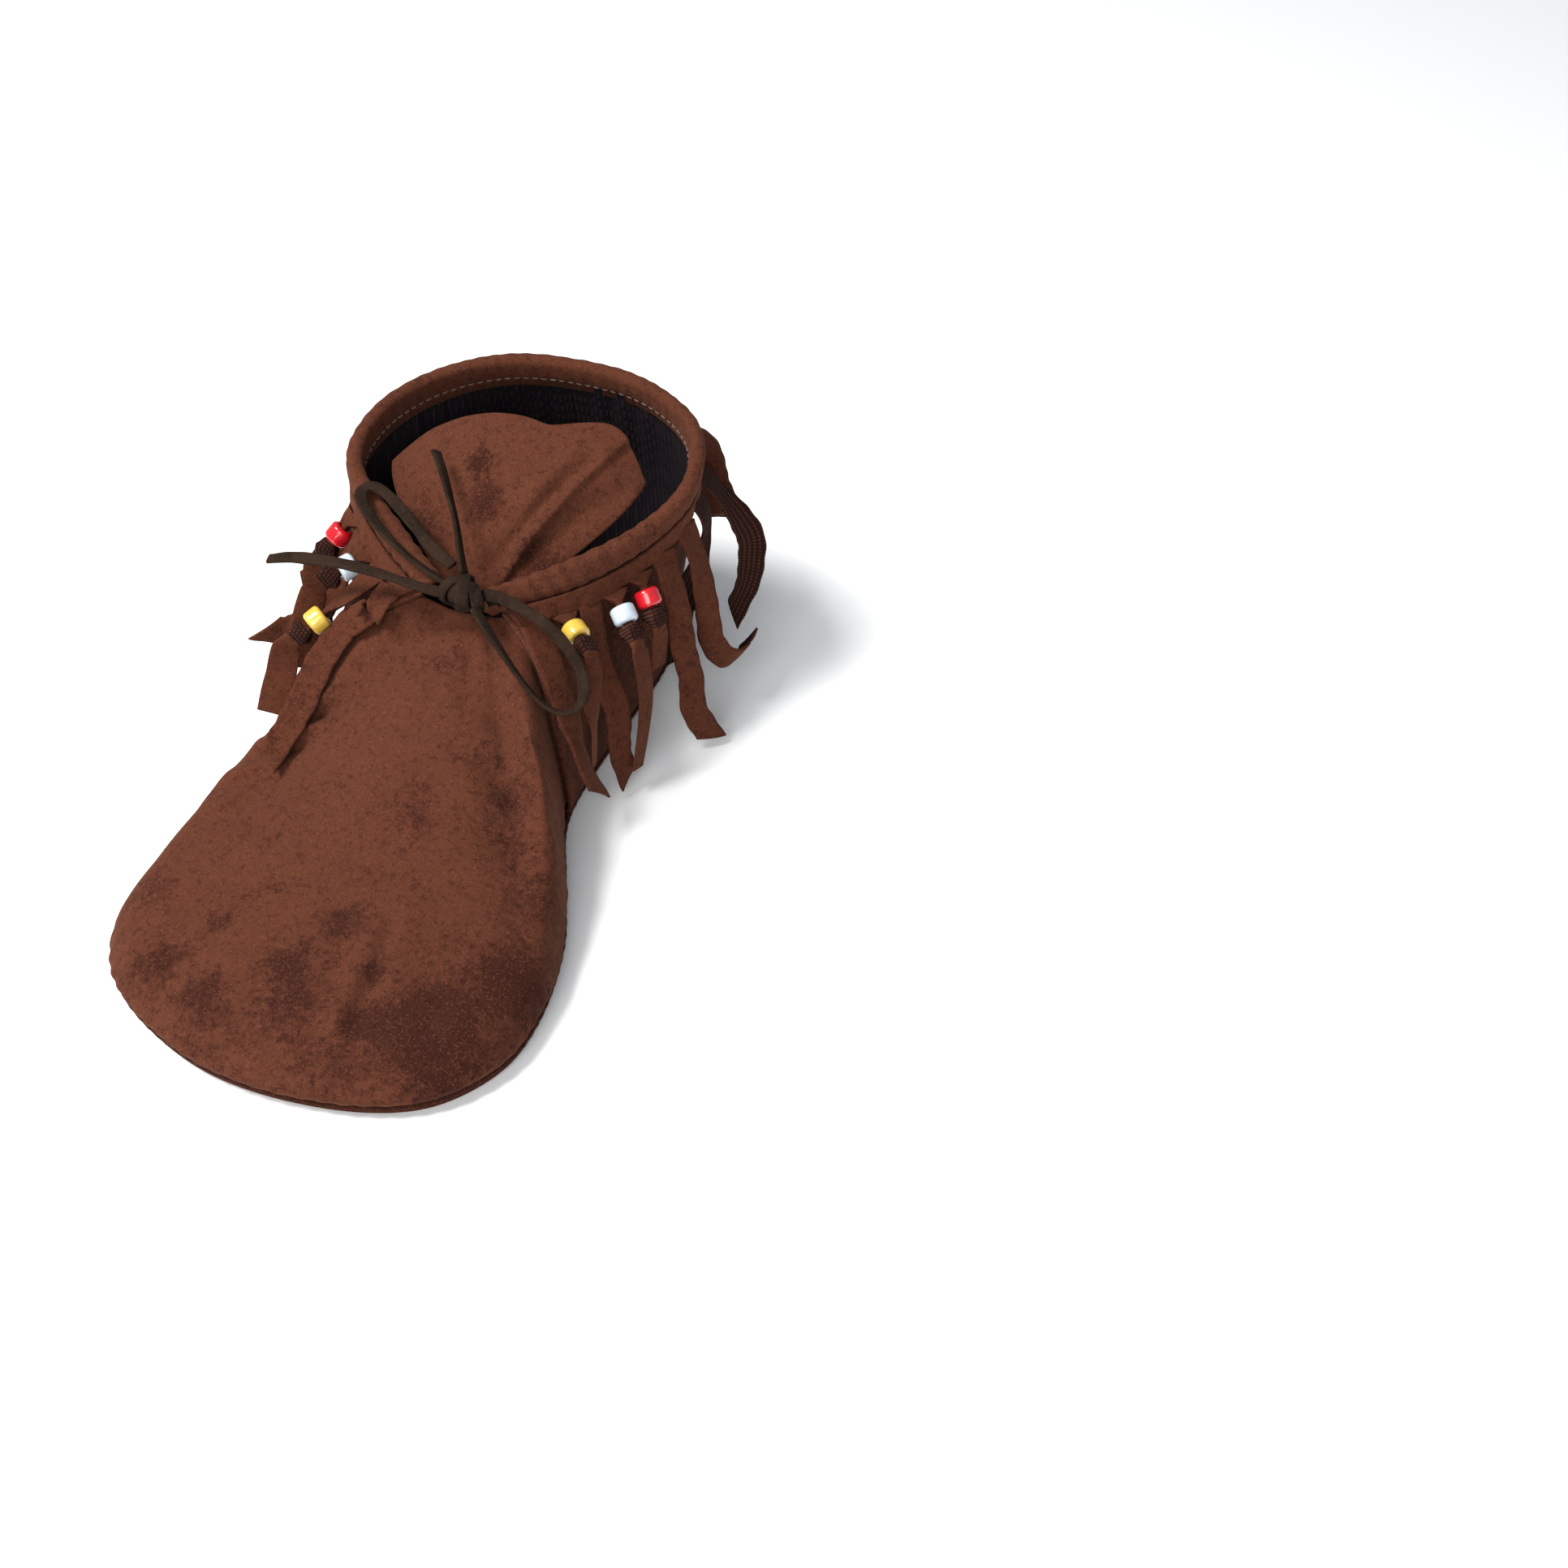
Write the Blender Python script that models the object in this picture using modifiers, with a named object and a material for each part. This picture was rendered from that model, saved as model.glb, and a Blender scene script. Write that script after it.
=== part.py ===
"""Fringed moccasin of soft suede cloth, for the wearer's right foot, lying on a floor.

Metres, +Z up. The toe points along -Y, the heel along +Y, and the inner side of the foot is +X.
The origin is the middle of the sole's underside. Each named object is one physical piece.
"""

import math

import bpy
from mathutils import Matrix, Vector
from mathutils.bvhtree import BVHTree

MM = 0.001

# ---- Driving dimensions ---------------------------------------------------------------------------
GAP = 0.4 * MM  # between pieces that touch
CLOTH = 1.5 * MM  # thickness of the upper's panels
TRIM = 1.2 * MM  # thickness of the fringe
SOLE_THICK = 2.5 * MM
INSOLE_THICK = 2.5 * MM
SOLE_INSET = 1.5 * MM  # the upper bulges this far past the sole
INSOLE_INSET = 7.0 * MM
WIDEST_Z = 9.0 * MM  # height at which the upper is widest
HEM_HEIGHT = 10.0 * MM
HEM_THICK = 7.0 * MM
HEM_WALL = 1.2 * MM
BAND_HEIGHT = 5.0 * MM  # uncut top of the fringe
LACE_WIDE = 3.2 * MM
LACE_THIN = 2.6 * MM  # pressed together inside the hem
LACE_STUB = 3.0 * MM  # how far it comes out of the hem's ends
KNOT_LENGTH = 11.0 * MM
KNOT_RADIUS = 5.0 * MM
KNOT_CENTRE = Vector((5.5, 18.5, 80.0)) * MM
BEAD_RADIUS = 4.5 * MM
BEAD_HOLE = 2.0 * MM
BEAD_LENGTH = 6.5 * MM
BEAD_TRAVEL = 1.0 * MM
BEAD_CLEAR = 2.2 * MM  # from the ankle wall to a bead
NECK_RADIUS = 1.4 * MM  # a beaded strand where it is rolled up to pass the bead
STRAND_WIDTH, STRAND_WIDTH_VARIES = 10.2 * MM, 0.6 * MM
STRAND_TAPER = 0.12  # share of its width that a plain strand loses by its tip
FLOOR_GAP = 1.2 * MM  # lowest a strand may hang

# Outline of the upper at its widest, anticlockwise from the inner waist, round the heel, to the outer
# waist (point WAIST_INDEX), and on round the toe.
OUTLINE = [
    (46.5, 5), (47, 50), (49, 100), (38, 135), (2, 149), (-36, 137), (-52, 100), (-58, 50), (-61, 3),
    (-70, -40), (-75, -74), (-73, -104), (-57, -127), (-20, -146), (20, -149), (52, -140), (70, -118),
    (74, -92), (69, -58), (57, -26),
]  # fmt: skip
WAIST_INDEX = 8

# Top edge of the ankle wall, from its inner front end, round the heel, to its outer front end.
RIM = [
    (10.5, 24, 79), (37, 50, 82), (54, 68, 87), (64, 86, 95), (58, 110, 101), (38, 126, 104),
    (14, 132, 105.5), (-20, 130, 105), (-46, 114, 102), (-58, 88, 99), (-54, 62, 94), (-27, 42, 84),
    (-2.5, 24, 79),
]  # fmt: skip

THROAT_CENTRE = Vector((4.0, 26.0, 66.0)) * MM  # where the vamp ends, under the hem's front ends
THROAT_HALF = 12.0 * MM
THROAT_DISH = 1.5 * MM  # its ends are this much nearer the heel than its middle
SHORT_REACH, LONG_REACH = 65 * MM, 150 * MM  # from the throat to the vamp's edge, at the waist and the toe
# Points that a vamp line passes on a short and on a long reach: share of the way to the throat, height.
VAMP_SHOULDER = ((0.13, 30 * MM), (0.10, 19 * MM))
VAMP_MIDDLE = ((0.48, 54 * MM), (0.48, 32 * MM))
# Points that a wall line passes at the heel and at the front: share of the way in to the rim, bulge
# outwards; then the flank's height, and the upper point's share of the height to the rim.
WALL_FLANK = ((0.16, 1.0 * MM, 32 * MM), (0.16, 1.0 * MM, 33 * MM))
WALL_UPPER = ((0.52, 1.0 * MM, 0.62), (0.50, 3.5 * MM, 0.74))
WALL_FRONT = 0.2  # share of the wall over which the front shape dies out
BACK_SEAM = 0.5  # share of the wall's length at which the two wall panels meet
SEAM_SHARE = 0.0006  # and the share of it left open on each side of the seam
TONGUE_ROOT = THROAT_CENTRE + Vector((0.0, 2.2, 1.2)) * MM
TONGUE_LENGTH = 72.0 * MM
TONGUE_SLOPE = math.radians(35)
TONGUE_CROWN = 5.0 * MM  # how far it bows upwards along its length
TONGUE_DRIFT = 3.0 * MM  # how far its top edge lies towards the outer side
LOBE_PLACE, LOBE_WIDTH, LOBE_LONGER = 0.72, 0.27, 0.10  # its inner half is longer here, by this share

VAMP_CELLS = (36, 10)
QUARTER_CELLS = (26, 8)
TONGUE_CELLS = (10, 8)
HEM_CELLS = 40
ROUND_SIDES = 16

# Shares of the wall's length, from the inner front end (0) round the heel to the outer front end (1).
FIRST_STRAND, LAST_STRAND = 0.022, 0.978
STRANDS = 28
BEADED = {  # strand number: the bead's colour, and how far down the strand it is threaded
    2: ("yellow", 4.5), 4: ("white", 4.5), 5: ("red", 4.5),
    27: ("yellow", 23.0), 26: ("white", 4.5), 24: ("red", 4.5),
}  # fmt: skip

SUEDE = (0.19, 0.075, 0.04)
DARK_SUEDE = (0.045, 0.02, 0.015)
LINING = (0.03, 0.015, 0.015)
COLOURS = {"red": (0.75, 0.02, 0.03), "white": (0.8, 0.86, 0.92), "yellow": (0.85, 0.6, 0.1)}


# ---- Scene, materials and meshes ------------------------------------------------------------------
def clear_scene():
    for old in list(bpy.data.objects):
        bpy.data.objects.remove(old)


def material(name, colour, roughness=0.95, metallic=0.0):
    made = bpy.data.materials.get(name) or bpy.data.materials.new(name)
    made.use_nodes = True
    shader = made.node_tree.nodes["Principled BSDF"]
    shader.inputs["Base Color"].default_value = (*colour, 1.0)
    shader.inputs["Roughness"].default_value = roughness
    shader.inputs["Metallic"].default_value = metallic
    return made


def add_object(name, data, finish):
    obj = bpy.data.objects.new(name, data)
    data.materials.append(finish)
    PARTS.objects.link(obj)
    return obj


def add_mesh(name, points, faces, finish):
    mesh = bpy.data.meshes.new(name)
    mesh.from_pydata([tuple(p) for p in points], [], faces)
    mesh.shade_smooth()
    return add_object(name, mesh, finish)


def thicken(obj, thickness, inward=True):
    """Solidify on an open surface whose faces point outward."""
    solid = obj.modifiers.new("Thickness", "SOLIDIFY")
    solid.thickness = thickness
    solid.offset = -1.0 if inward else 1.0
    solid.use_even_offset = True
    return obj


def sheet(name, rows, finish, thickness, inward=True):
    """A panel through rows of points, all of one length, given a thickness."""
    wide = len(rows[0])
    faces = [
        (r * wide + c, r * wide + c + 1, (r + 1) * wide + c + 1, (r + 1) * wide + c)
        for r in range(len(rows) - 1)
        for c in range(wide - 1)
    ]
    return thicken(add_mesh(name, sum(rows, []), faces, finish), thickness, inward)


def hang_on(obj, root):
    """Moves the object's origin to the root, where its hinge runs."""
    obj.data.transform(Matrix.Translation(-root))
    obj.location = root


def loft(name, rings, finish, capped=True):
    """A skin round rings of points that run anticlockwise as seen from the loft's far end."""
    sides = len(rings[0])
    faces = [
        (r * sides + c, r * sides + (c + 1) % sides, (r + 1) * sides + (c + 1) % sides, (r + 1) * sides + c)
        for r in range(len(rings) - 1)
        for c in range(sides)
    ]
    if capped:
        last = (len(rings) - 1) * sides
        faces.append(tuple(reversed(range(sides))))
        faces.append(tuple(range(last, last + sides)))
    return add_mesh(name, sum(rings, []), faces, finish)


def plate(name, outline, low, high, finish):
    """A flat plate: a filled 2D curve with an extrusion."""
    curve = bpy.data.curves.new(name, "CURVE")
    curve.dimensions = "2D"
    curve.fill_mode = "BOTH"
    curve.extrude = (high - low) / 2
    spline = curve.splines.new("POLY")
    spline.points.add(len(outline) - 1)
    for point, place in zip(spline.points, outline):
        point.co = (place.x, place.y, 0.0, 1.0)
    spline.use_cyclic_u = True
    obj = add_object(name, curve, finish)
    obj.location.z = (low + high) / 2
    return obj


def tube(name, route, diameter, finish):
    """A cord: a curve with a round bevel and filled ends."""
    curve = bpy.data.curves.new(name, "CURVE")
    curve.dimensions = "3D"
    curve.bevel_depth = diameter / 2
    curve.bevel_resolution = 2
    curve.use_fill_caps = True
    spline = curve.splines.new("POLY")
    spline.points.add(len(route) - 1)
    for point, place in zip(spline.points, route):
        point.co = (*place, 1.0)
    return add_object(name, curve, finish)


def turned(name, profile, finish, steps=ROUND_SIDES):
    """A profile in the XZ plane turned about Z."""
    mesh = bpy.data.meshes.new(name)
    edges = [(i, (i + 1) % len(profile)) for i in range(len(profile))]
    if min(x for x, _ in profile) < 1e-9:  # it starts and ends on the axis
        edges.pop()
    mesh.from_pydata([(x, 0.0, z) for x, z in profile], edges, [])
    obj = add_object(name, mesh, finish)
    screw = obj.modifiers.new("Turn", "SCREW")
    screw.steps = steps
    screw.render_steps = steps
    screw.use_merge_vertices = True
    screw.merge_threshold = 0.00001
    screw.use_smooth_shade = True
    return obj


# ---- Curves ---------------------------------------------------------------------------------------
def curve_through(points, per_span=12, closed=False):
    """Points along a smooth curve through the given ones."""
    points = [Vector(p) for p in points]
    count = len(points)

    def at(i):
        return points[i % count] if closed else points[min(max(i, 0), count - 1)]

    made = []
    for i in range(count if closed else count - 1):
        before, start, end, after = at(i - 1), at(i), at(i + 1), at(i + 2)
        for k in range(per_span):
            t = k / per_span
            made.append(
                0.5
                * (
                    2 * start
                    + (end - before) * t
                    + (2 * before - 5 * start + 4 * end - after) * t * t
                    + (3 * start - before - 3 * end + after) * t * t * t
                )
            )
    return made if closed else [*made, points[-1]]


def evenly(points, count):
    """count points at equal distances along a line of points, both ends included."""
    along = [0.0]
    for a, b in zip(points, points[1:]):
        along.append(along[-1] + (b - a).length)
    return [point_along(points, along, along[-1] * i / (count - 1)) for i in range(count)]


def point_along(points, along, distance):
    i = next((k for k in range(1, len(along)) if along[k] >= distance), len(along) - 1)
    span = max(along[i] - along[i - 1], 1e-12)
    return points[i - 1].lerp(points[i], min(max((distance - along[i - 1]) / span, 0.0), 1.0))


def smooth_step(low, high, value):
    t = min(max((value - low) / (high - low), 0.0), 1.0)
    return t * t * (3 - 2 * t)


def blended(start, end, share):
    """Each number of start moved towards its partner in end."""
    return [a + (b - a) * share for a, b in zip(start, end)]


def line_point(line, share):
    """The point at a share of an evenly spaced line."""
    place = min(max(share, 0.0), 1.0) * (len(line) - 1)
    i = min(int(place), len(line) - 2)
    return line[i].lerp(line[i + 1], place - i)


# ---- The upper's surfaces -------------------------------------------------------------------------
FINE = 241
LINE_POINTS = 33
LAP_START = 1 - 2 / VAMP_CELLS[0]  # share of the vamp's half width where the ankle wall starts to cover it
TUCK_START = 1 - 10 / VAMP_CELLS[0]  # and where the vamp starts to turn in under it
LAP = 0.015  # share of the wall that covers it
FOOT_TURN = 1.5 * MM  # how far the upper turns in from its widest down to the sole
_all = curve_through([(x * MM, y * MM, 0) for x, y in OUTLINE], closed=True)
_waist = WAIST_INDEX * 12
QUARTER_EDGE = evenly(_all[: _waist + 1], FINE)
VAMP_EDGE = evenly([*_all[_waist:], _all[0]], FINE)
WHOLE_EDGE = evenly([*_all, _all[0]], 73)[:-1]
RIM_EDGE = evenly(curve_through([Vector(p) * MM for p in RIM]), FINE)


def inset(outline, distance):
    """The closed outline moved inwards."""
    count, made = len(outline), []
    for i, point in enumerate(outline):
        run = outline[(i + 1) % count] - outline[i - 1]
        made.append(point + Vector((-run.y, run.x, 0)).normalized() * distance)
    return made


def outward_of(edge, share):
    run = line_point(edge, share + 0.01) - line_point(edge, share - 0.01)
    return Vector((run.y, -run.x, 0)).normalized()


def vamp_line(share):
    """From the sole's edge up and over to the throat, at a share of the toe's outline."""
    edge = line_point(VAMP_EDGE, share)
    out = outward_of(VAMP_EDGE, share)
    side = 2 * share - 1  # -1 at the outer waist, 1 at the inner waist
    throat = THROAT_CENTRE + Vector((side * THROAT_HALF, THROAT_DISH * side**2, 0))
    long = smooth_step(SHORT_REACH, LONG_REACH, (throat - edge).xy.length)
    passed = []
    for short_reach, long_reach in (VAMP_SHOULDER, VAMP_MIDDLE):
        way, height = blended(short_reach, long_reach, long)
        passed.append(edge.lerp(throat, way))
        passed[-1].z = height
    own = evenly(curve_through([*foot_of(edge, out), *passed, throat], 6), LINE_POINTS)
    tuck = smooth_step(TUCK_START, LAP_START, abs(side))
    lap = max(0.0, (abs(side) - LAP_START) / (1 - LAP_START)) * LAP
    under = under_wall(1 - lap if side < 0 else lap)
    return [a.lerp(b, tuck) for a, b in zip(own, under)]


def foot_of(edge, out):
    """The first two points of an upper's line: turned in to the sole, and at its widest."""
    low = edge - out * FOOT_TURN
    low.z = SOLE_THICK + 3 * GAP
    wide = edge.copy()
    wide.z = WIDEST_Z
    return low, wide


def under_wall(share):
    """A line one cloth behind the ankle wall, from the sole to the hem."""
    wall = Wall(share)
    top = HEM_HEIGHT + 4 * GAP
    drops = [wall.along[-1] + (top - wall.along[-1]) * i / (LINE_POINTS - 1) for i in range(LINE_POINTS)]
    return [wall.at(drop) - wall.out(drop) * (CLOTH + 3 * GAP) for drop in drops]


def quarter_line(share):
    """From the sole's edge up to the rim, at a share of the heel's outline."""
    edge = line_point(QUARTER_EDGE, share)
    out = outward_of(QUARTER_EDGE, share)
    rim = line_point(RIM_EDGE, share)
    front = 1 - smooth_step(0.0, WALL_FRONT, min(share, 1 - share))
    low, wide = foot_of(edge, out)
    way, bulge, height = blended(*WALL_FLANK, front)
    flank = edge.lerp(rim, way) + out * bulge
    flank.z = height
    way, bulge, climb = blended(*WALL_UPPER, front)
    upper = edge.lerp(rim, way) + out * bulge
    upper.z = wide.z + (rim.z - wide.z) * climb
    return curve_through([low, wide, flank, upper, rim], 6)


class Wall:
    """The ankle wall's outer surface: points and directions at a share round it and a drop below the rim."""

    def __init__(self, share):
        self.share = share
        line = quarter_line(share)
        self.points = line[::-1]
        self.along = [0.0]
        for a, b in zip(self.points, self.points[1:]):
            self.along.append(self.along[-1] + (b - a).length)

    def at(self, drop):
        return point_along(self.points, self.along, drop)

    def down(self, drop):
        return (self.at(drop + 2 * MM) - self.at(max(drop - 2 * MM, 0.0))).normalized()

    def round(self, drop):
        """The direction along the wall, towards the outer front end."""
        low, high = max(self.share - 0.01, 0.0), min(self.share + 0.01, 1.0)
        return (Wall(high).at(drop) - Wall(low).at(drop)).normalized()

    def out(self, drop):
        return self.round(drop).cross(-self.down(drop)).normalized()


def heights(count):
    """Shares up a panel, closer together near the sole, where it bends most."""
    return [(k / count) ** 1.6 for k in range(count + 1)]


def vamp_rows(cells):
    """Rows from the sole up to the throat."""
    lines = []
    for i in range(cells[0] + 1):
        fine = evenly(vamp_line(i / cells[0]), 97)
        lines.append([line_point(fine, height) for height in heights(cells[1])])
    return [list(row) for row in zip(*lines)]


# ---- Panels ---------------------------------------------------------------------------------------
def make_sole():
    plate("sole", inset(WHOLE_EDGE, SOLE_INSET), 0.0, SOLE_THICK, material("sole_cloth", SUEDE))


def make_insole():
    low = SOLE_THICK + GAP
    outline = inset(WHOLE_EDGE, INSOLE_INSET)
    plate("insole", outline, low, low + INSOLE_THICK, material("lining", LINING))


def make_vamp():
    sheet("vamp", vamp_rows(VAMP_CELLS), material("suede", SUEDE), CLOTH)


def quarter_rows(low, high):
    """Rows from the sole up to the bottom of the hem."""
    columns = []
    for i in range(QUARTER_CELLS[0] + 1):
        wall = Wall(low + (high - low) * i / QUARTER_CELLS[0])
        deepest, top = wall.along[-1], HEM_HEIGHT + GAP
        columns.append([wall.at(deepest + (top - deepest) * height) for height in heights(QUARTER_CELLS[1])])
    return [list(row) for row in zip(*columns)]


def make_quarters():
    halves = (("quarter_inner", 0.0, BACK_SEAM - SEAM_SHARE), ("quarter_outer", BACK_SEAM + SEAM_SHARE, 1.0))
    for name, low, high in halves:
        sheet(name, quarter_rows(low, high), material("suede", SUEDE), CLOTH)


# ---- Collar: hem, drawstring and bow --------------------------------------------------------------
HEM_ENDS = (0.004, 0.996)


def hem_frame(share):
    """The hem's middle and its across and up directions."""
    wall = Wall(share)
    drop = HEM_HEIGHT / 2
    return wall.at(drop) - wall.out(drop) * CLOTH / 2, wall.out(drop), -wall.down(drop)


def hem_ring(share, sides=10):
    """A slot-shaped ring round the casing."""
    middle, out, up = hem_frame(share)
    half_thick, half_high = HEM_THICK / 2, HEM_HEIGHT / 2 - HEM_THICK / 2
    ring = []
    for i in range(sides):
        angle = 2 * math.pi * (i + 0.5) / sides
        high = half_high if math.sin(angle) < 0 else -half_high
        ring.append(middle + out * half_thick * math.cos(angle) + up * (high - half_thick * math.sin(angle)))
    return ring


def collar_shares(count):
    low, high = HEM_ENDS
    return [low + (high - low) * i / count for i in range(count + 1)]


def make_hem():
    rings = [hem_ring(share) for share in collar_shares(HEM_CELLS)]
    thicken(loft("collar_hem", rings, material("suede", SUEDE), capped=False), HEM_WALL)


def make_drawstring():
    """The lace inside the casing, and a little way out of both its front ends, up to the knot."""
    route = [hem_frame(share)[0] for share in collar_shares(HEM_CELLS)]
    route.insert(0, route[0] + (route[0] - route[1]).normalized() * LACE_STUB)
    route.append(route[-1] + (route[-1] - route[-2]).normalized() * LACE_STUB)
    tube("drawstring", route, LACE_THIN, material("lace", DARK_SUEDE))


# The routes of the bow, in millimetres from the knot's centre.
BOW = {
    "lace_loop_outer": [
        (-6.5, 2.6, 1), (-17, 5, 4), (-29, 10.5, 7), (-40, 18, 9.5), (-47, 24.5, 11), (-50, 29.5, 12),
        (-47.5, 33, 13), (-40, 30, 12.5), (-29, 22.5, 10), (-17, 13, 7.5), (-6.5, 7, 5.5),
    ],
    "lace_tail_outer": [
        (-6.5, -2.2, 0.5), (-16, -3, 2), (-28, -2.5, 3.5), (-41, -1, 3.5), (-54, 0.5, 2), (-65, 1.5, 0),
        (-74, 2, -3),
    ],
    "lace_loop_inner": [
        (6.5, 0.5, 1), (15, 0, 1), (27, -2, -2), (37.5, -5.5, -7), (45.5, -10, -14), (48.5, -15, -20.5),
        (46, -19, -25), (40.5, -20.5, -25.5), (32.5, -20, -21), (24, -17.5, -12.5), (14, -11.5, -5),
        (6.5, -5.5, -1),
    ],
    "lace_tail_inner": [
        (-2, 6.2, 3.5), (-5, 11, 8), (-10, 20, 13.5), (-16, 29, 17.5), (-22, 38, 20.5), (-28, 46, 23),
    ],
}  # fmt: skip


def make_bow():
    lace = material("lace", DARK_SUEDE)
    for name, route in BOW.items():
        through = curve_through([KNOT_CENTRE + Vector(p) * MM for p in route])
        length = sum((b - a).length for a, b in zip(through, through[1:]))
        tube(name, evenly(through, round(length / (2.5 * LACE_WIDE)) + 1), LACE_WIDE, lace)
    half, r = KNOT_LENGTH / 2, KNOT_RADIUS
    quarter = [(0.0, half), (0.72 * r, 0.92 * half), (r, 0.45 * half)]
    profile = quarter + [(x, -z) for x, z in reversed(quarter)]
    knot = turned("lace_knot", profile, lace)
    knot.location = KNOT_CENTRE
    knot.rotation_euler.y = math.pi / 2


# ---- Tongue ---------------------------------------------------------------------------------------
def tongue_point(across, share):
    """across runs -1 to 1, and share 0 at the root to 1 at the top edge."""
    half = (7 + 54 * share ** 0.9 - 12 * share ** 3) * MM
    lobe = LOBE_LONGER * math.exp(-(((across - LOBE_PLACE) / LOBE_WIDTH) ** 2))
    rounded = 1 - 0.13 * abs(across) ** 3 * share + lobe * share**3
    run = TONGUE_LENGTH * share * rounded
    shoulder = share if across > 0 else 0.0  # its inner side stands up squarer than its outer side
    droop = ((0.33 - 0.17 * shoulder) * half + 2 * MM * share) * abs(across) ** (2 + 2 * shoulder)
    crown = TONGUE_CROWN * math.sin(math.pi * share)
    return TONGUE_ROOT + Vector((
        half * across - TONGUE_DRIFT * share,
        run * math.cos(TONGUE_SLOPE),
        run * math.sin(TONGUE_SLOPE) + crown - droop,
    ))  # fmt: skip


def make_tongue():
    wide, long = TONGUE_CELLS
    rows = [[tongue_point(2 * c / wide - 1, r / long) for c in range(wide + 1)] for r in range(long + 1)]
    hang_on(sheet("tongue", rows, material("suede", SUEDE), CLOTH), TONGUE_ROOT)


# ---- Fringe ---------------------------------------------------------------------------------------
BAND_TOP = HEM_HEIGHT + 2 * GAP
ROOT_DROP = BAND_TOP + BAND_HEIGHT + 3 * GAP


def make_band():
    """The uncut top of the fringe, sewn on under the hem."""
    walls = [Wall(share) for share in collar_shares(HEM_CELLS)]
    rows = [
        [wall.at(drop) + wall.out(drop) * (2 * GAP + TRIM) for wall in walls]
        for drop in (BAND_TOP + BAND_HEIGHT, BAND_TOP)
    ]
    sheet("fringe_band", rows, material("suede", SUEDE), TRIM)


def upper_surface():
    """The vamp's and the wall's outer surfaces, for the strands to lie on."""
    points, faces = [], []
    for rows in (vamp_rows((48, 14)), quarter_rows(0.0, 1.0)):
        first, wide = len(points), len(rows[0])
        points += sum(rows, [])
        for r in range(len(rows) - 1):
            for c in range(wide - 1):
                a = first + r * wide + c
                faces.append((a, a + 1, a + wide + 1, a + wide))
    return BVHTree.FromPolygons(points, faces)


def clear_of(surface, point, distance):
    """The point, moved out of the upper and off the floor if it is nearer than that."""
    near, normal, _, _ = surface.find_nearest(point)
    if (point - near).dot(normal) < distance:
        point = near + normal * distance
    return Vector((point.x, point.y, max(point.z, FLOOR_GAP)))


STRAND_STEPS = 9
ROUND_STEPS = 8
FALL = Vector((0.0, 0.0, -0.18))  # how much a limp strand turns down at each step
LIE_CLEAR = 1.8 * MM  # from the upper to the centre of a strand that lies on it
LIE_RISE = 0.2 * MM  # and how much further out it is at each step
NECK_LENGTH = BEAD_LENGTH + BEAD_TRAVEL + 2 * GAP

# Strands that hang unlike their neighbours: length in millimetres, slope away from the wall, and lean
# round the wall (positive is towards the outer front end).
STRAYS = {
    1: (66, 0.25, -0.3),
    2: (58, 0.3, -0.35),
    3: (66, 0.3, -0.3),
    4: (68, 0.3, -0.2),
    5: (36, 0.3, -0.1),
    6: (78, 0.8, -0.1),
    7: (76, 0.75, -0.05),
    8: (80, 0.8, 0.05),
    9: (66, 1.2, 0.1),
    11: (52, 1.5, 0.1),
    25: (56, 0.5, 0.2),
    26: (52, 0.5, 0.5),
    27: (66, 0.5, 0.45),
    28: (82, 0.2, 0.75),
}


def strand_share(number):
    return FIRST_STRAND + (LAST_STRAND - FIRST_STRAND) * (number - 1) / (STRANDS - 1)


def strand_shape(number):
    """Length, slope away from the wall, and lean round it."""
    share = strand_share(number)
    front = max(0.0, 1 - min(share, 1 - share) / 0.16)
    usual = (50 + 14 * front + 4 * math.sin(2.4 * number), 0.22, -0.25 * math.sin(2 * math.pi * share))
    length, slope, lean = STRAYS.get(number, usual)
    return length * MM, slope, lean


def strand_width(number):
    return STRAND_WIDTH + STRAND_WIDTH_VARIES * math.sin(1.7 * number)


def strand_root(number):
    wall = Wall(strand_share(number))
    return wall, wall.at(ROOT_DROP) + wall.out(ROOT_DROP) * (2 * GAP + TRIM / 2)


def hanging_route(surface, number):
    """Centre line of a strand that falls from its root and lies on the upper where it meets it."""
    wall, place = strand_root(number)
    length, slope, lean = strand_shape(number)
    step = length / STRAND_STEPS
    straight = 0
    if number in BEADED:  # it runs straight through its bead, far enough out for the bead to clear the wall
        neck_start = BEADED[number][1] * MM
        straight = math.ceil((neck_start + NECK_LENGTH + 3 * MM) / step)
        slope = (BEAD_RADIUS + BEAD_CLEAR) / (neck_start + BEAD_LENGTH / 2)
    way = (wall.down(ROOT_DROP) + wall.out(ROOT_DROP) * slope + wall.round(ROOT_DROP) * lean).normalized()
    route = [place]
    for i in range(STRAND_STEPS):
        if i >= straight:
            way = (way + FALL).normalized()
            place = clear_of(surface, place + way * step, LIE_CLEAR + i * LIE_RISE)
        else:
            place = place + way * step
        way = (place - route[-1]).normalized()
        route.append(place)
    return route


def across_at(surface, number, route, i):
    """The direction of a strand's width: along the hem at its root, then flat to what it lies on."""
    if i == 0:
        return strand_root(number)[0].round(ROOT_DROP)
    run = route[min(i + 1, len(route) - 1)] - route[max(i - 1, 0)]
    _, normal, _, _ = surface.find_nearest(route[i])
    return normal.cross(run).normalized()


def strand_name(number):
    return f"fringe_strand_{number:02d}"


def make_plain_strand(number, surface):
    route = hanging_route(surface, number)
    half = strand_width(number) / 2
    rows = []
    for i, place in enumerate(route):
        across = across_at(surface, number, route, i) * half * (1 - STRAND_TAPER * i / STRAND_STEPS)
        rows.append([place - across, place + across])
    strand = sheet(strand_name(number), rows, material("suede", SUEDE), TRIM)
    strand.modifiers["Thickness"].offset = 0.0
    hang_on(strand, route[0])


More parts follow.
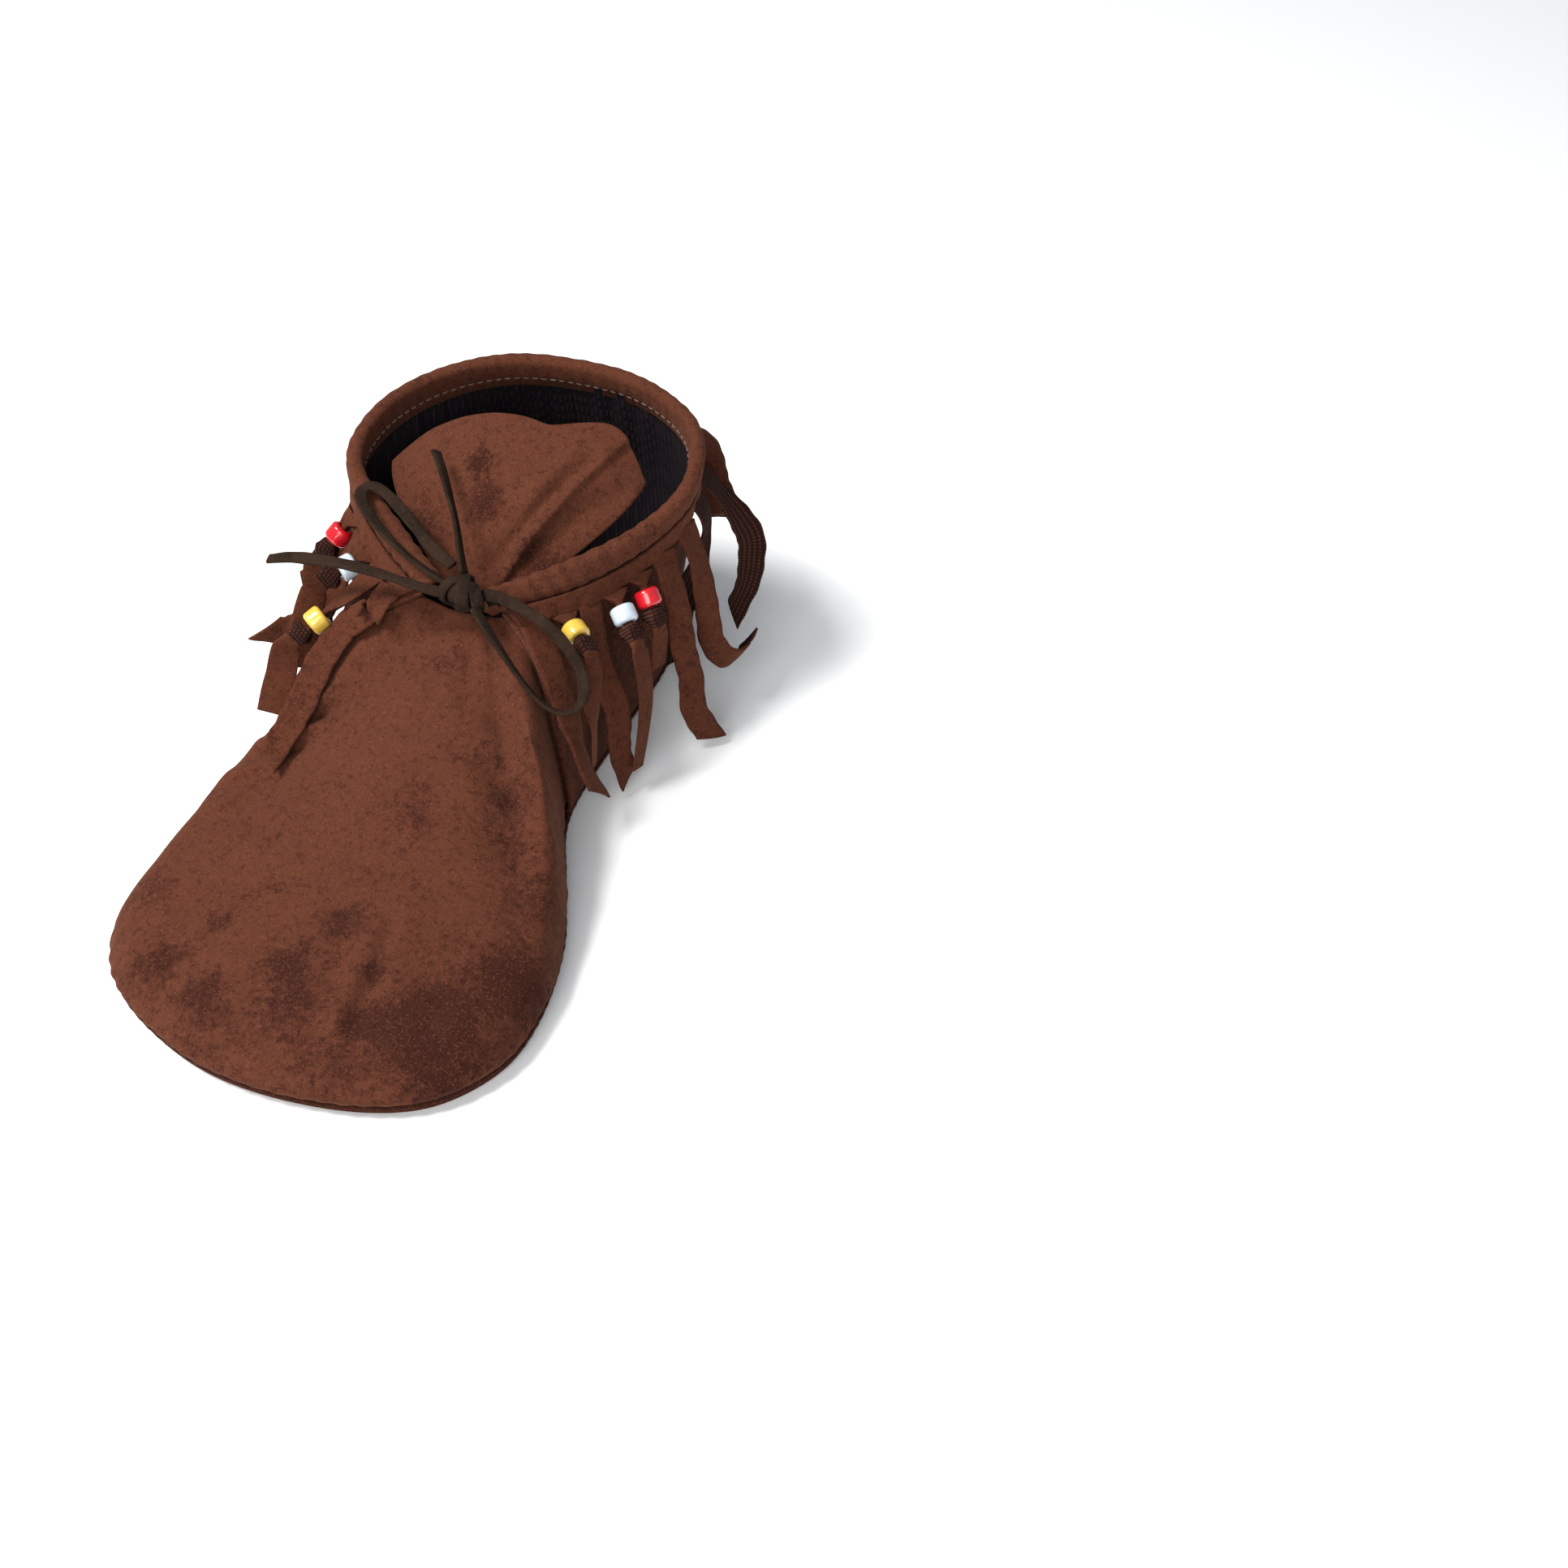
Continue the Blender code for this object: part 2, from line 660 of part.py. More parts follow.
def strand_ring(centre, across, facing, half_wide, half_thick):
    """A rounded slot of a section across a strand."""
    ring = []
    for i in range(ROUND_STEPS):
        angle = -2 * math.pi * (i + 0.5) / ROUND_STEPS
        c, s = math.cos(angle), math.sin(angle)
        ring.append(
            centre
            + across * half_wide * math.copysign(abs(c) ** 0.6, c)
            + facing * half_thick * math.copysign(abs(s) ** 0.6, s)
        )
    return ring


def make_beaded_strand(number, surface):
    """A strand rolled up to a neck that carries a bead, with a knot under the bead."""
    route = hanging_route(surface, number)
    length = strand_shape(number)[0]
    half, flat = strand_width(number) / 2, TRIM / 2
    colour, neck_start = BEADED[number]
    neck_start *= MM
    neck_end = neck_start + NECK_LENGTH
    sections = [
        (0.0, half, flat), (1.0 * MM, half, flat), (max(neck_start - 6 * MM, 1.2 * MM), half, flat),
        (neck_start, NECK_RADIUS, NECK_RADIUS),
        (neck_end, NECK_RADIUS, NECK_RADIUS), (neck_end + 0.6 * MM, 3.4 * MM, 3.2 * MM),
        (neck_end + 3.4 * MM, 4.2 * MM, 3.6 * MM), (neck_end + 6.0 * MM, 3.0 * MM, 2.4 * MM),
        (neck_end + 8.0 * MM, 0.8 * half, flat), (0.8 * length, half, flat), (length, 0.9 * half, flat),
    ]  # fmt: skip
    fine = curve_through(route, 8)
    along = [0.0]
    for a, b in zip(fine, fine[1:]):
        along.append(along[-1] + (b - a).length)
    rings = []
    for distance, half_wide, half_thick in sections:
        centre = point_along(fine, along, distance)
        ahead = point_along(fine, along, distance + 1.5 * MM)
        behind = point_along(fine, along, max(distance - 1.5 * MM, 0.0))
        run = (ahead - behind).normalized()
        step = min(math.ceil(distance / length * STRAND_STEPS - 0.5), STRAND_STEPS)
        across = across_at(surface, number, route, step)
        facing = across.cross(run).normalized()
        if distance < neck_start - 1 * MM:  # the flat top stays in line with the hem
            across = across_at(surface, number, route, 0)
        else:
            across = run.cross(facing)
        rings.append(strand_ring(centre, across, facing, half_wide, half_thick))
    strand = loft(strand_name(number), rings, material("suede", SUEDE))
    hang_on(strand, route[0])
    middle = point_along(fine, along, neck_end - GAP - BEAD_LENGTH / 2)
    make_bead(colour, number, strand, middle, (fine[4] - fine[0]).normalized())


def make_bead(colour, number, strand, middle, run):
    side = "inner" if number < STRANDS / 2 else "outer"
    half, r = BEAD_LENGTH / 2, BEAD_RADIUS
    profile = [
        (BEAD_HOLE, half), (0.8 * r, half), (r, 0.6 * half), (r, -0.6 * half), (0.8 * r, -half),
        (BEAD_HOLE, -half),
    ]  # fmt: skip
    bead = turned(f"bead_{colour}_{side}", profile, material(f"{colour}_bead", COLOURS[colour], 0.15))
    bead.rotation_euler = (-run).to_track_quat("Z", "Y").to_euler()
    bead.parent = strand
    bead.location = middle - strand.location


def main():
    make_sole()
    make_insole()
    make_vamp()
    make_quarters()
    make_hem()
    make_drawstring()
    make_bow()
    make_tongue()
    make_band()
    surface = upper_surface()
    for number in range(1, STRANDS + 1):
        make = make_beaded_strand if number in BEADED else make_plain_strand
        make(number, surface)


clear_scene()
PARTS = bpy.data.collections.new("moccasin")
bpy.context.scene.collection.children.link(PARTS)
main()
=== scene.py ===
"""Looks of a fringed moccasin of soft suede cloth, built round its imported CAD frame.

Metres, +Z up. The toe points along -Y, the heel along +Y, and the inner side of the foot is +X.
"""

import math

import bmesh
import bpy
import numpy as np
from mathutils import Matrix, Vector, noise
from mathutils.bvhtree import BVHTree


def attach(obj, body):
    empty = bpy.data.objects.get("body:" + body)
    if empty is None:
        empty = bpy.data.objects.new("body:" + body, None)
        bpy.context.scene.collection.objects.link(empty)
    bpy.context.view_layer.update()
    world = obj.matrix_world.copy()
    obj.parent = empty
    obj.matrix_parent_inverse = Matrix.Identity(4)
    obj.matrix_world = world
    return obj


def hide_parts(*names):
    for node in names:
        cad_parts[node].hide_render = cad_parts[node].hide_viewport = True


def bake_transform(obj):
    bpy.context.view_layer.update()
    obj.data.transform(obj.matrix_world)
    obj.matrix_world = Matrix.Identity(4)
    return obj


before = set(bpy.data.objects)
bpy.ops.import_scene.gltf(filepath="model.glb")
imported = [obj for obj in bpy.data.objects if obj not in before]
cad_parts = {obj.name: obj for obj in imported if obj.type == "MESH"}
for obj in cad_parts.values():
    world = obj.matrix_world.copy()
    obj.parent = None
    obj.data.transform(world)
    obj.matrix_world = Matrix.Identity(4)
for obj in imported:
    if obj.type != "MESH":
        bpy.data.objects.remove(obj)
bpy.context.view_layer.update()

MM = 0.001

# ---- Driving dimensions, the same as the CAD's ------------------------------------------------------
GAP = 0.4 * MM
CLOTH = 1.5 * MM
TRIM = 1.2 * MM
SOLE_THICK = 2.5 * MM
INSOLE_INSET = 7.0 * MM
WIDEST_Z = 9.0 * MM
HEM_HEIGHT = 10.0 * MM
HEM_THICK = 7.0 * MM
BAND_HEIGHT = 5.0 * MM
LACE_FLAT = 4.2 * MM  # the flat lace's own width; LACE_WIDE is that of the round cord it stands for
LACE_THICK = 1.5 * MM
KNOT_CENTRE = np.array((5.5, 18.5, 80.0)) * MM
BEAD_RADIUS = 4.5 * MM
BEAD_HOLE = 2.0 * MM
BEAD_LENGTH = 6.5 * MM
BEAD_TRAVEL = 1.0 * MM
BEAD_CLEAR = 2.2 * MM
NECK_RADIUS = 1.4 * MM
FLOOR_GAP = 1.2 * MM
UP = np.array((0.0, 0.0, 1.0))

OUTLINE = [
    (46.5, 5), (47, 50), (49, 100), (38, 135), (2, 149), (-36, 137), (-52, 100), (-58, 50), (-61, 3),
    (-70, -40), (-75, -74), (-73, -104), (-57, -127), (-20, -146), (20, -149), (52, -140), (70, -118),
    (74, -92), (69, -58), (57, -26),
]  # fmt: skip
WAIST_INDEX = 8
RIM = [
    (10.5, 24, 79), (37, 50, 82), (54, 68, 87), (64, 86, 95), (58, 110, 101), (38, 126, 104),
    (14, 132, 105.5), (-20, 130, 105), (-46, 114, 102), (-58, 88, 99), (-54, 62, 94), (-27, 42, 84),
    (-2.5, 24, 79),
]  # fmt: skip
THROAT_CENTRE = np.array((4.0, 26.0, 66.0)) * MM
THROAT_HALF = 12.0 * MM
TONGUE_ROOT = THROAT_CENTRE + np.array((0.0, 2.2, 1.2)) * MM
TONGUE_LENGTH = 72.0 * MM
TONGUE_SLOPE = math.radians(35)
TONGUE_CROWN = 5.0 * MM  # how far it bows upwards along its length
TONGUE_DRIFT = 3.0 * MM  # how far its top edge lies towards the outer side
LAP_CELLS = 36  # the share of the vamp that the wall covers is counted in these
LAP_START = 1 - 2 / LAP_CELLS
TUCK_START = 1 - 10 / LAP_CELLS  # where the vamp starts to turn in under the wall
LAP = 0.015
THROAT_DISH = 1.5 * MM  # its ends are this much nearer the heel than its middle
SHORT_REACH, LONG_REACH = 65 * MM, 150 * MM  # from the throat to the vamp's edge, at the waist and the toe
FOOT_TURN = 1.5 * MM  # how far the upper turns in from its widest down to the sole
HALF_SEAM = 0.0006  # the share of the wall left open on each side of the back seam

FIRST_STRAND, LAST_STRAND = 0.022, 0.978
STRANDS = 28
STRAND_STEPS = 9
STRAND_WIDTH, STRAND_WIDTH_VARIES = 10.2 * MM, 0.6 * MM
WIDER_STRANDS, WIDER_BY = range(22, 29), 1.6 * MM  # those at the outer front look wider in the photo
BEADED = {
    2: ("yellow", 4.5), 4: ("white", 4.5), 5: ("red", 4.5),
    27: ("yellow", 23.0), 26: ("white", 4.5), 24: ("red", 4.5),
}  # fmt: skip
STRAYS = {
    1: (66, 0.25, -0.3), 2: (58, 0.3, -0.35), 3: (66, 0.3, -0.3), 4: (68, 0.3, -0.2),
    5: (36, 0.3, -0.1), 6: (78, 0.8, -0.1), 7: (76, 0.75, -0.05), 8: (80, 0.8, 0.05),
    9: (66, 1.2, 0.1), 11: (52, 1.5, 0.1), 25: (56, 0.5, 0.2), 26: (52, 0.5, 0.5),
    27: (66, 0.5, 0.45), 28: (82, 0.2, 0.75),
}  # fmt: skip
BAND_TOP = HEM_HEIGHT + 2 * GAP
ROOT_DROP = BAND_TOP + BAND_HEIGHT + 3 * GAP
NECK_LENGTH = BEAD_LENGTH + BEAD_TRAVEL + 2 * GAP


# ---- Curves -----------------------------------------------------------------------------------------
def unit(v):
    v = np.asarray(v, float)
    return v / np.maximum(np.linalg.norm(v, axis=-1, keepdims=True), 1e-12)


def turned(a, b, angle):
    """Two square directions at each point, turned together: a towards b."""
    c, s = np.cos(angle)[:, None], np.sin(angle)[:, None]
    return a * c + b * s, b * c - a * s


def circle(count, start=0.0):
    """Cosines and sines of even steps round a circle."""
    angles = 2 * math.pi * (np.arange(count) + start) / count
    return np.cos(angles), np.sin(angles)


def squared(count, power):
    """A circle squared off towards its corners by a power below 1."""
    return tuple(np.sign(w) * np.abs(w) ** power for w in circle(count, 0.5))


def around(route, a, b, by_a, by_b):
    """Rings round a route, by how far their points lie along the directions a and b."""
    return route[:, None, :] + a[:, None, :] * by_a[..., None] + b[:, None, :] * by_b[..., None]


def lerp(a, b, t):
    return a + (b - a) * t


def smooth_step(low, high, value):
    t = np.clip((value - low) / (high - low), 0.0, 1.0)
    return t * t * (3 - 2 * t)


def curve_through(points, per_span=12, closed=False):
    """Points along a smooth curve through the given ones."""
    p = np.asarray(points, float)
    if closed:
        before, start, end, after = np.roll(p, 1, 0), p, np.roll(p, -1, 0), np.roll(p, -2, 0)
    else:
        start, end = p[:-1], p[1:]
        before = np.vstack([p[:1], p[:-2]])
        after = np.vstack([p[2:], p[-1:]])
    t = (np.arange(per_span) / per_span)[None, :, None]
    before, start, end, after = (x[:, None, :] for x in (before, start, end, after))
    made = 0.5 * (
        2 * start
        + (end - before) * t
        + (2 * before - 5 * start + 4 * end - after) * t**2
        + (3 * start - before - 3 * end + after) * t**3
    )
    made = made.reshape(-1, p.shape[1])
    return made if closed else np.vstack([made, p[-1:]])


def run_of_closed(loop):
    """The way along a closed line, at each of its points."""
    return unit(np.roll(loop, -1, 0) - np.roll(loop, 1, 0))


def lengths_along(points):
    return np.concatenate([[0.0], np.cumsum(np.linalg.norm(np.diff(points, axis=0), axis=1))])


def at_distance(points, distance):
    """Points on a line of points at distances along it."""
    along = lengths_along(points)
    return np.stack([np.interp(distance, along, points[:, k]) for k in range(points.shape[1])], -1)


def evenly(points, count):
    return at_distance(points, np.linspace(0, lengths_along(points)[-1], count))


def line_point(line, share):
    place = np.clip(share, 0.0, 1.0) * (len(line) - 1)
    index = np.arange(len(line))
    return np.stack([np.interp(place, index, line[:, k]) for k in range(line.shape[1])], -1)


# ---- The upper's surfaces ---------------------------------------------------------------------------
FINE = 721
LINE_POINTS = 81
_all = curve_through([(x * MM, y * MM, 0) for x, y in OUTLINE], 24, closed=True)
_waist = WAIST_INDEX * 24
QUARTER_EDGE = evenly(_all[: _waist + 1], FINE)
VAMP_EDGE = evenly(np.vstack([_all[_waist:], _all[:1]]), FINE)
WHOLE_EDGE = evenly(np.vstack([_all, _all[:1]]), 361)[:-1]
RIM_EDGE = evenly(curve_through(np.array(RIM) * MM, 24), FINE)


def outward_of(edge, share):
    run = line_point(edge, share + 0.01) - line_point(edge, share - 0.01)
    return unit(np.array((run[1], -run[0], 0.0)))


def foot_of(edge, out):
    """The first two points of an upper's line: turned in to the sole, and at its widest."""
    low = edge - out * FOOT_TURN
    low[2] = SOLE_THICK + 3 * GAP
    wide = edge.copy()
    wide[2] = WIDEST_Z
    return low, wide


def quarter_line(share):
    """From the sole's edge up to the rim, at a share of the heel's outline."""
    edge = line_point(QUARTER_EDGE, share)
    out = outward_of(QUARTER_EDGE, share)
    rim = line_point(RIM_EDGE, share)
    front = 1 - smooth_step(0.0, 0.2, min(share, 1 - share))
    low, wide = foot_of(edge, out)
    flank = lerp(edge, rim, 0.16) + out * MM
    flank[2] = (32 + 1 * front) * MM
    upper = lerp(edge, rim, 0.52 - 0.02 * front) + out * (1.0 + 2.5 * front) * MM
    upper[2] = wide[2] + (rim[2] - wide[2]) * (0.62 + 0.12 * front)
    return curve_through([low, wide, flank, upper, rim], 16)


class WallSurface:
    """The ankle wall's outer surface, by the share round it and the drop below the rim."""

    SHARES, STEPS = 401, 121

    def __init__(self):
        lines = [quarter_line(s)[::-1] for s in np.linspace(0, 1, self.SHARES)]
        self.lengths = np.array([lengths_along(line)[-1] for line in lines])
        self.points = np.array([evenly(line, self.STEPS) for line in lines])
        self.downs = unit(np.gradient(self.points, axis=1))
        self.rounds = unit(np.gradient(self.points, axis=0))
        self.outs = unit(np.cross(self.rounds, -self.downs))

    def sample(self, grid, share, drop):
        """share and drop may be arrays of one shape."""
        share, drop = np.broadcast_arrays(np.asarray(share, float), np.asarray(drop, float))
        column = np.clip(share, 0, 1) * (self.SHARES - 1)
        length = np.interp(column, np.arange(self.SHARES), self.lengths)
        row = np.clip(drop / length, 0, 1) * (self.STEPS - 1)
        c = np.minimum(column.astype(int), self.SHARES - 2)
        r = np.minimum(row.astype(int), self.STEPS - 2)
        fc, fr = (column - c)[..., None], (row - r)[..., None]
        low = lerp(grid[c, r], grid[c, r + 1], fr)
        high = lerp(grid[c + 1, r], grid[c + 1, r + 1], fr)
        return lerp(low, high, fc)

    def at(self, share, drop):
        return self.sample(self.points, share, drop)

    def out(self, share, drop):
        return unit(self.sample(self.outs, share, drop))

    def down(self, share, drop):
        return unit(self.sample(self.downs, share, drop))

    def round(self, share, drop):
        return unit(self.sample(self.rounds, share, drop))

    def length(self, share):
        return np.interp(share, np.linspace(0, 1, self.SHARES), self.lengths)


WALL = WallSurface()


def under_wall(share):
    """A line one cloth behind the ankle wall, from the sole to the hem."""
    drops = np.linspace(WALL.length(share), HEM_HEIGHT + 4 * GAP, LINE_POINTS)
    return WALL.at(share, drops) - WALL.out(share, drops) * (CLOTH + 3 * GAP)


def vamp_line(share):
    """From the sole's edge up and over to the throat, at a share of the toe's outline."""
    edge = line_point(VAMP_EDGE, share)
    out = outward_of(VAMP_EDGE, share)
    side = 2 * share - 1
    throat = THROAT_CENTRE + np.array((side * THROAT_HALF, THROAT_DISH * side**2, 0))
    reach = np.linalg.norm((throat - edge)[:2])
    long = smooth_step(SHORT_REACH, LONG_REACH, reach)
    shoulder = lerp(edge, throat, 0.13 - 0.03 * long)
    shoulder[2] = (30 - 11 * long) * MM
    middle = lerp(edge, throat, 0.48)
    middle[2] = (54 - 22 * long) * MM
    own = evenly(curve_through([*foot_of(edge, out), shoulder, middle, throat], 16), LINE_POINTS)
    tuck = smooth_step(TUCK_START, LAP_START, abs(side))
    lap = max(0.0, (abs(side) - LAP_START) / (1 - LAP_START)) * LAP
    return lerp(own, under_wall(1 - lap if side < 0 else lap), tuck)


def heights(count):
    """Shares up a panel, closer together near the sole, where it bends most."""
    return (np.arange(count + 1) / count) ** 1.5


def vamp_grid(cells):
    """Rows from the sole up to the throat, columns from the outer waist round the toe."""
    shares = np.linspace(0, 1, cells[0] + 1)
    columns = [line_point(evenly(vamp_line(s), 241), heights(cells[1])) for s in shares]
    return np.array(columns).transpose(1, 0, 2)


def wall_grid(low, high, cells, top=HEM_HEIGHT + GAP):
    shares = np.linspace(low, high, cells[0] + 1)[None, :]
    deepest = WALL.length(shares)
    drops = deepest + (top - deepest) * heights(cells[1])[:, None]
    return WALL.at(np.broadcast_to(shares, drops.shape), drops)


def normals_of(grid):
    return unit(np.cross(np.gradient(grid, axis=1), np.gradient(grid, axis=0)))


# ---- Camera, light and floor ------------------------------------------------------------------------
CAMERA_PLACE = Vector((0.3428, -0.6679, 0.6312))
CAMERA_TARGET = Vector((0.1103, 0.0476, 0.0))
CAMERA_LENS = 63.35  # millimetres, on a 36 mm sensor


def aim(obj, place, target):
    obj.location = place
    obj.rotation_euler = (Vector(target) - Vector(place)).to_track_quat("-Z", "Y").to_euler()
    bpy.context.scene.collection.objects.link(obj)
    return obj


def add_camera():
    data = bpy.data.cameras.new("camera")
    data.lens = CAMERA_LENS
    data.sensor_width = 36.0
    data.clip_start = 0.01
    bpy.context.scene.camera = aim(bpy.data.objects.new("camera", data), CAMERA_PLACE, CAMERA_TARGET)


def add_area_light(name, place, target, side, watts, colour):
    data = bpy.data.lights.new(name, "AREA")
    data.shape = "SQUARE"
    data.size = side
    data.energy = watts
    data.color = colour
    aim(bpy.data.objects.new(name, data), place, target)


def add_light():
    world = bpy.data.worlds.new("studio")
    world.use_nodes = True
    background = world.node_tree.nodes["Background"]
    background.inputs["Color"].default_value = (0.90, 0.95, 1.0, 1.0)
    background.inputs["Strength"].default_value = 0.38
    bpy.context.scene.world = world
    add_area_light("key", (-0.62, -0.38, 1.25), (0.0, 0.0, 0.03), 0.5, 31.0, (1.0, 0.985, 0.96))
    add_area_light("fill", (0.25, -1.4, 0.85), (0.0, 0.0, 0.05), 1.0, 19.0, (1.0, 0.99, 0.97))


def add_floor():
    half = 4.0
    mesh = bpy.data.meshes.new("floor")
    corners = [(-half, -half, 0), (half, -half, 0), (half, half, 0), (-half, half, 0)]
    mesh.from_pydata(corners, [], [(0, 1, 2, 3)])
    floor = bpy.data.objects.new("floor", mesh)
    finish = bpy.data.materials.new("paper")
    finish.use_nodes = True
    shader = finish.node_tree.nodes["Principled BSDF"]
    shader.inputs["Base Color"].default_value = (0.95, 0.955, 0.965, 1.0)
    shader.inputs["Roughness"].default_value = 0.7
    mesh.materials.append(finish)
    bpy.context.scene.collection.objects.link(floor)


# ---- Materials --------------------------------------------------------------------------------------
class Finish:
    """A Principled material, with short ways to add its nodes."""

    def __init__(self, name, **constants):
        self.material = bpy.data.materials.new(name)
        self.material.use_nodes = True
        self.tree = self.material.node_tree
        self.shader = self.tree.nodes["Principled BSDF"]
        for socket, value in constants.items():
            self.shader.inputs[socket.replace("_", " ")].default_value = value

    def node(self, kind, inputs=(), **settings):
        made = self.tree.nodes.new("ShaderNode" + kind)
        for key, value in settings.items():
            setattr(made, key, value)
        for key, value in dict(inputs).items():
            if isinstance(value, bpy.types.NodeSocket):
                self.tree.links.new(value, made.inputs[key])
            else:
                made.inputs[key].default_value = value
        return made

    def stored(self, name):
        """A value or vector kept on the mesh's points."""
        return self.node("Attribute", attribute_name=name)

    def noise(self, where, scale, detail=3.0, roughness=0.55, distortion=0.0):
        inputs = {
            "Vector": where, "Scale": scale, "Detail": detail, "Roughness": roughness,
            "Distortion": distortion,
        }  # fmt: skip
        return self.node("TexNoise", inputs).outputs["Fac"]

    def stretched(self, where, scale):
        """The coordinates scaled unevenly, so that a pattern runs one way."""
        return self.node("Mapping", {"Vector": where, "Scale": scale}).outputs["Vector"]

    def between(self, value, low, high, most=None):
        """0 below low and 1 above high, smoothly, and times most where it is given."""
        inputs = {"Value": value, "From Min": low, "From Max": high}
        made = self.node("MapRange", inputs, interpolation_type="SMOOTHSTEP").outputs["Result"]
        return made if most is None else self.maths("MULTIPLY", made, most)

    def maths(self, operation, a, b):
        return self.node("Math", {0: a, 1: b}, operation=operation).outputs["Value"]

    def weighted(self, *terms):
        """The sum of values, each times its weight."""
        total = 0.0
        for value, weight in terms:
            made = self.maths("MULTIPLY_ADD", value, weight)
            if isinstance(total, bpy.types.NodeSocket):
                self.tree.links.new(total, made.node.inputs[2])
            else:
                made.node.inputs[2].default_value = total
            total = made
        return total

    def mix(self, factor, a, b):
        made = self.node("Mix", data_type="RGBA")
        for index, value in ((0, factor), (6, a), (7, b)):
            if isinstance(value, bpy.types.NodeSocket):
                self.tree.links.new(value, made.inputs[index])
            elif index == 0:
                made.inputs[index].default_value = value
            else:
                made.inputs[index].default_value = (*value, 1.0)
        return made.outputs[2]

    def bump(self, height, strength, distance, under=None):
        inputs = {"Height": height, "Strength": strength, "Distance": distance}
        if under is not None:
            inputs["Normal"] = under
        return self.node("Bump", inputs).outputs["Normal"]

    def use(self, **sockets):
        for name, socket in sockets.items():
            self.tree.links.new(socket, self.shader.inputs[name.replace("_", " ")])
        return self.material


def times(factor, colour):
    return tuple(factor * c for c in colour)


def suede_cloth(name, light, dark, brushed_scale=22.0, threshold=0.665):
    """The napped face of microsuede: a fine grain, and darker scuffs where the nap is brushed."""
    f = Finish(
        name, Roughness=0.95, Specular_IOR_Level=0.06, Sheen_Weight=0.09, Sheen_Roughness=0.4,
        Sheen_Tint=(0.85, 0.42, 0.26, 1.0),
    )  # fmt: skip
    rest = f.stored("rest").outputs["Vector"]
    brushed = f.stored("brushed").outputs["Fac"]
    broad = f.noise(rest, brushed_scale, 5.0, 0.65, 0.6)
    mottle = f.noise(rest, 6 * brushed_scale, 5.0, 0.72, 0.4)
    grit = f.noise(rest, 420.0, 4.0, 0.75)
    speckle = f.noise(rest, 1300.0, 2.0, 0.6)
    patchy = f.noise(rest, 16 * brushed_scale, 5.0, 0.75, 0.3)
    scuff = f.weighted((brushed, 0.23), (broad, 0.36), (mottle, 0.34), (patchy, 0.36), (grit, 0.22))
    base = f.mix(f.between(scuff, threshold, threshold + 0.20, 0.95), light, dark)
    cloudy = f.between(f.weighted((broad, 0.4), (mottle, 0.6)), 0.35, 0.7, 0.42)
    base = f.mix(cloudy, base, times(0.62, light))
    base = f.mix(f.between(grit, 0.48, 0.68, 0.5), base, times(0.6, dark))
    base = f.mix(f.between(speckle, 0.52, 0.70, 0.5), base, times(1.7, light))
    normal = f.bump(mottle, 0.25, 0.0012)
    normal = f.bump(grit, 0.5, 0.0008, normal)
    normal = f.bump(speckle, 0.5, 0.0004, normal)
    return f.use(Base_Color=base, Normal=normal)


def knit_reverse(name, light, dark):
    """The back of the cloth: fine knitted ribs that run along the strip."""
    f = Finish(name, Roughness=0.95, Specular_IOR_Level=0.08)
    strip = f.stored("strip").outputs["Vector"]
    ribs = f.node(
        "TexWave", {"Vector": strip, "Scale": 155.0, "Distortion": 0.6, "Detail": 1.0, "Detail Scale": 2.0},
        wave_type="BANDS", bands_direction="X",
    ).outputs["Fac"]  # fmt: skip
    rows = f.node(
        "TexWave", {"Vector": strip, "Scale": 260.0, "Distortion": 1.2, "Detail": 1.0},
        wave_type="BANDS", bands_direction="Y",
    ).outputs["Fac"]  # fmt: skip
    loops = f.maths("MULTIPLY", f.between(ribs, 0.25, 0.8), f.between(rows, 0.1, 0.6))
    uneven = f.noise(f.stored("rest").outputs["Vector"], 120.0, 3.0)
    colour = f.mix(loops, dark, light)
    colour = f.mix(f.between(uneven, 0.4, 0.7, 0.35), colour, dark)
    return f.use(Base_Color=colour, Normal=f.bump(loops, 0.6, 0.0005))


def lace_cord(name):
    """Dark flat suede lace, dull, with a fine grain."""
    f = Finish(name, Roughness=0.95, Specular_IOR_Level=0.08)
    rest = f.node("TexCoord").outputs["Object"]
    grain = f.noise(rest, 700.0, 3.0, 0.65)
    broad = f.noise(rest, 90.0, 3.0, 0.6)
    colour = f.mix(f.between(broad, 0.35, 0.7), (0.0225, 0.0125, 0.0078), (0.012, 0.0068, 0.0045))
    colour = f.mix(f.between(grain, 0.5, 0.75, 0.5), colour, (0.040, 0.023, 0.0145))
    return f.use(Base_Color=colour, Normal=f.bump(grain, 0.5, 0.0004))


def glossy_bead(name, colour, deep):
    """Moulded plastic: a hard gloss over a slightly uneven colour."""
    f = Finish(
        name, Roughness=0.16, Coat_Weight=0.6, Coat_Roughness=0.06, Subsurface_Weight=0.12,
        Subsurface_Radius=(0.002, 0.001, 0.001), Subsurface_Scale=1.0,
    )  # fmt: skip
    rest = f.stored("rest").outputs["Vector"]
    cloud = f.noise(rest, 260.0, 2.0, 0.5)
    scuffs = f.noise(rest, 1500.0, 3.0, 0.7)
    base = f.mix(f.between(cloud, 0.35, 0.75, 0.5), colour, deep)
    return f.use(Base_Color=base, Normal=f.bump(scuffs, 0.05, 0.0002))


def thread(name, colour):
    f = Finish(name, Roughness=0.6, Sheen_Weight=0.3)
    rest = f.stored("rest").outputs["Vector"]
    twist = f.noise(f.stretched(rest, (1.0, 1.0, 3.0)), 1800.0, 2.0)
    base = f.mix(f.between(twist, 0.35, 0.65), colour, times(0.5, colour))
    return f.use(Base_Color=base, Normal=f.bump(twist, 0.4, 0.0002))


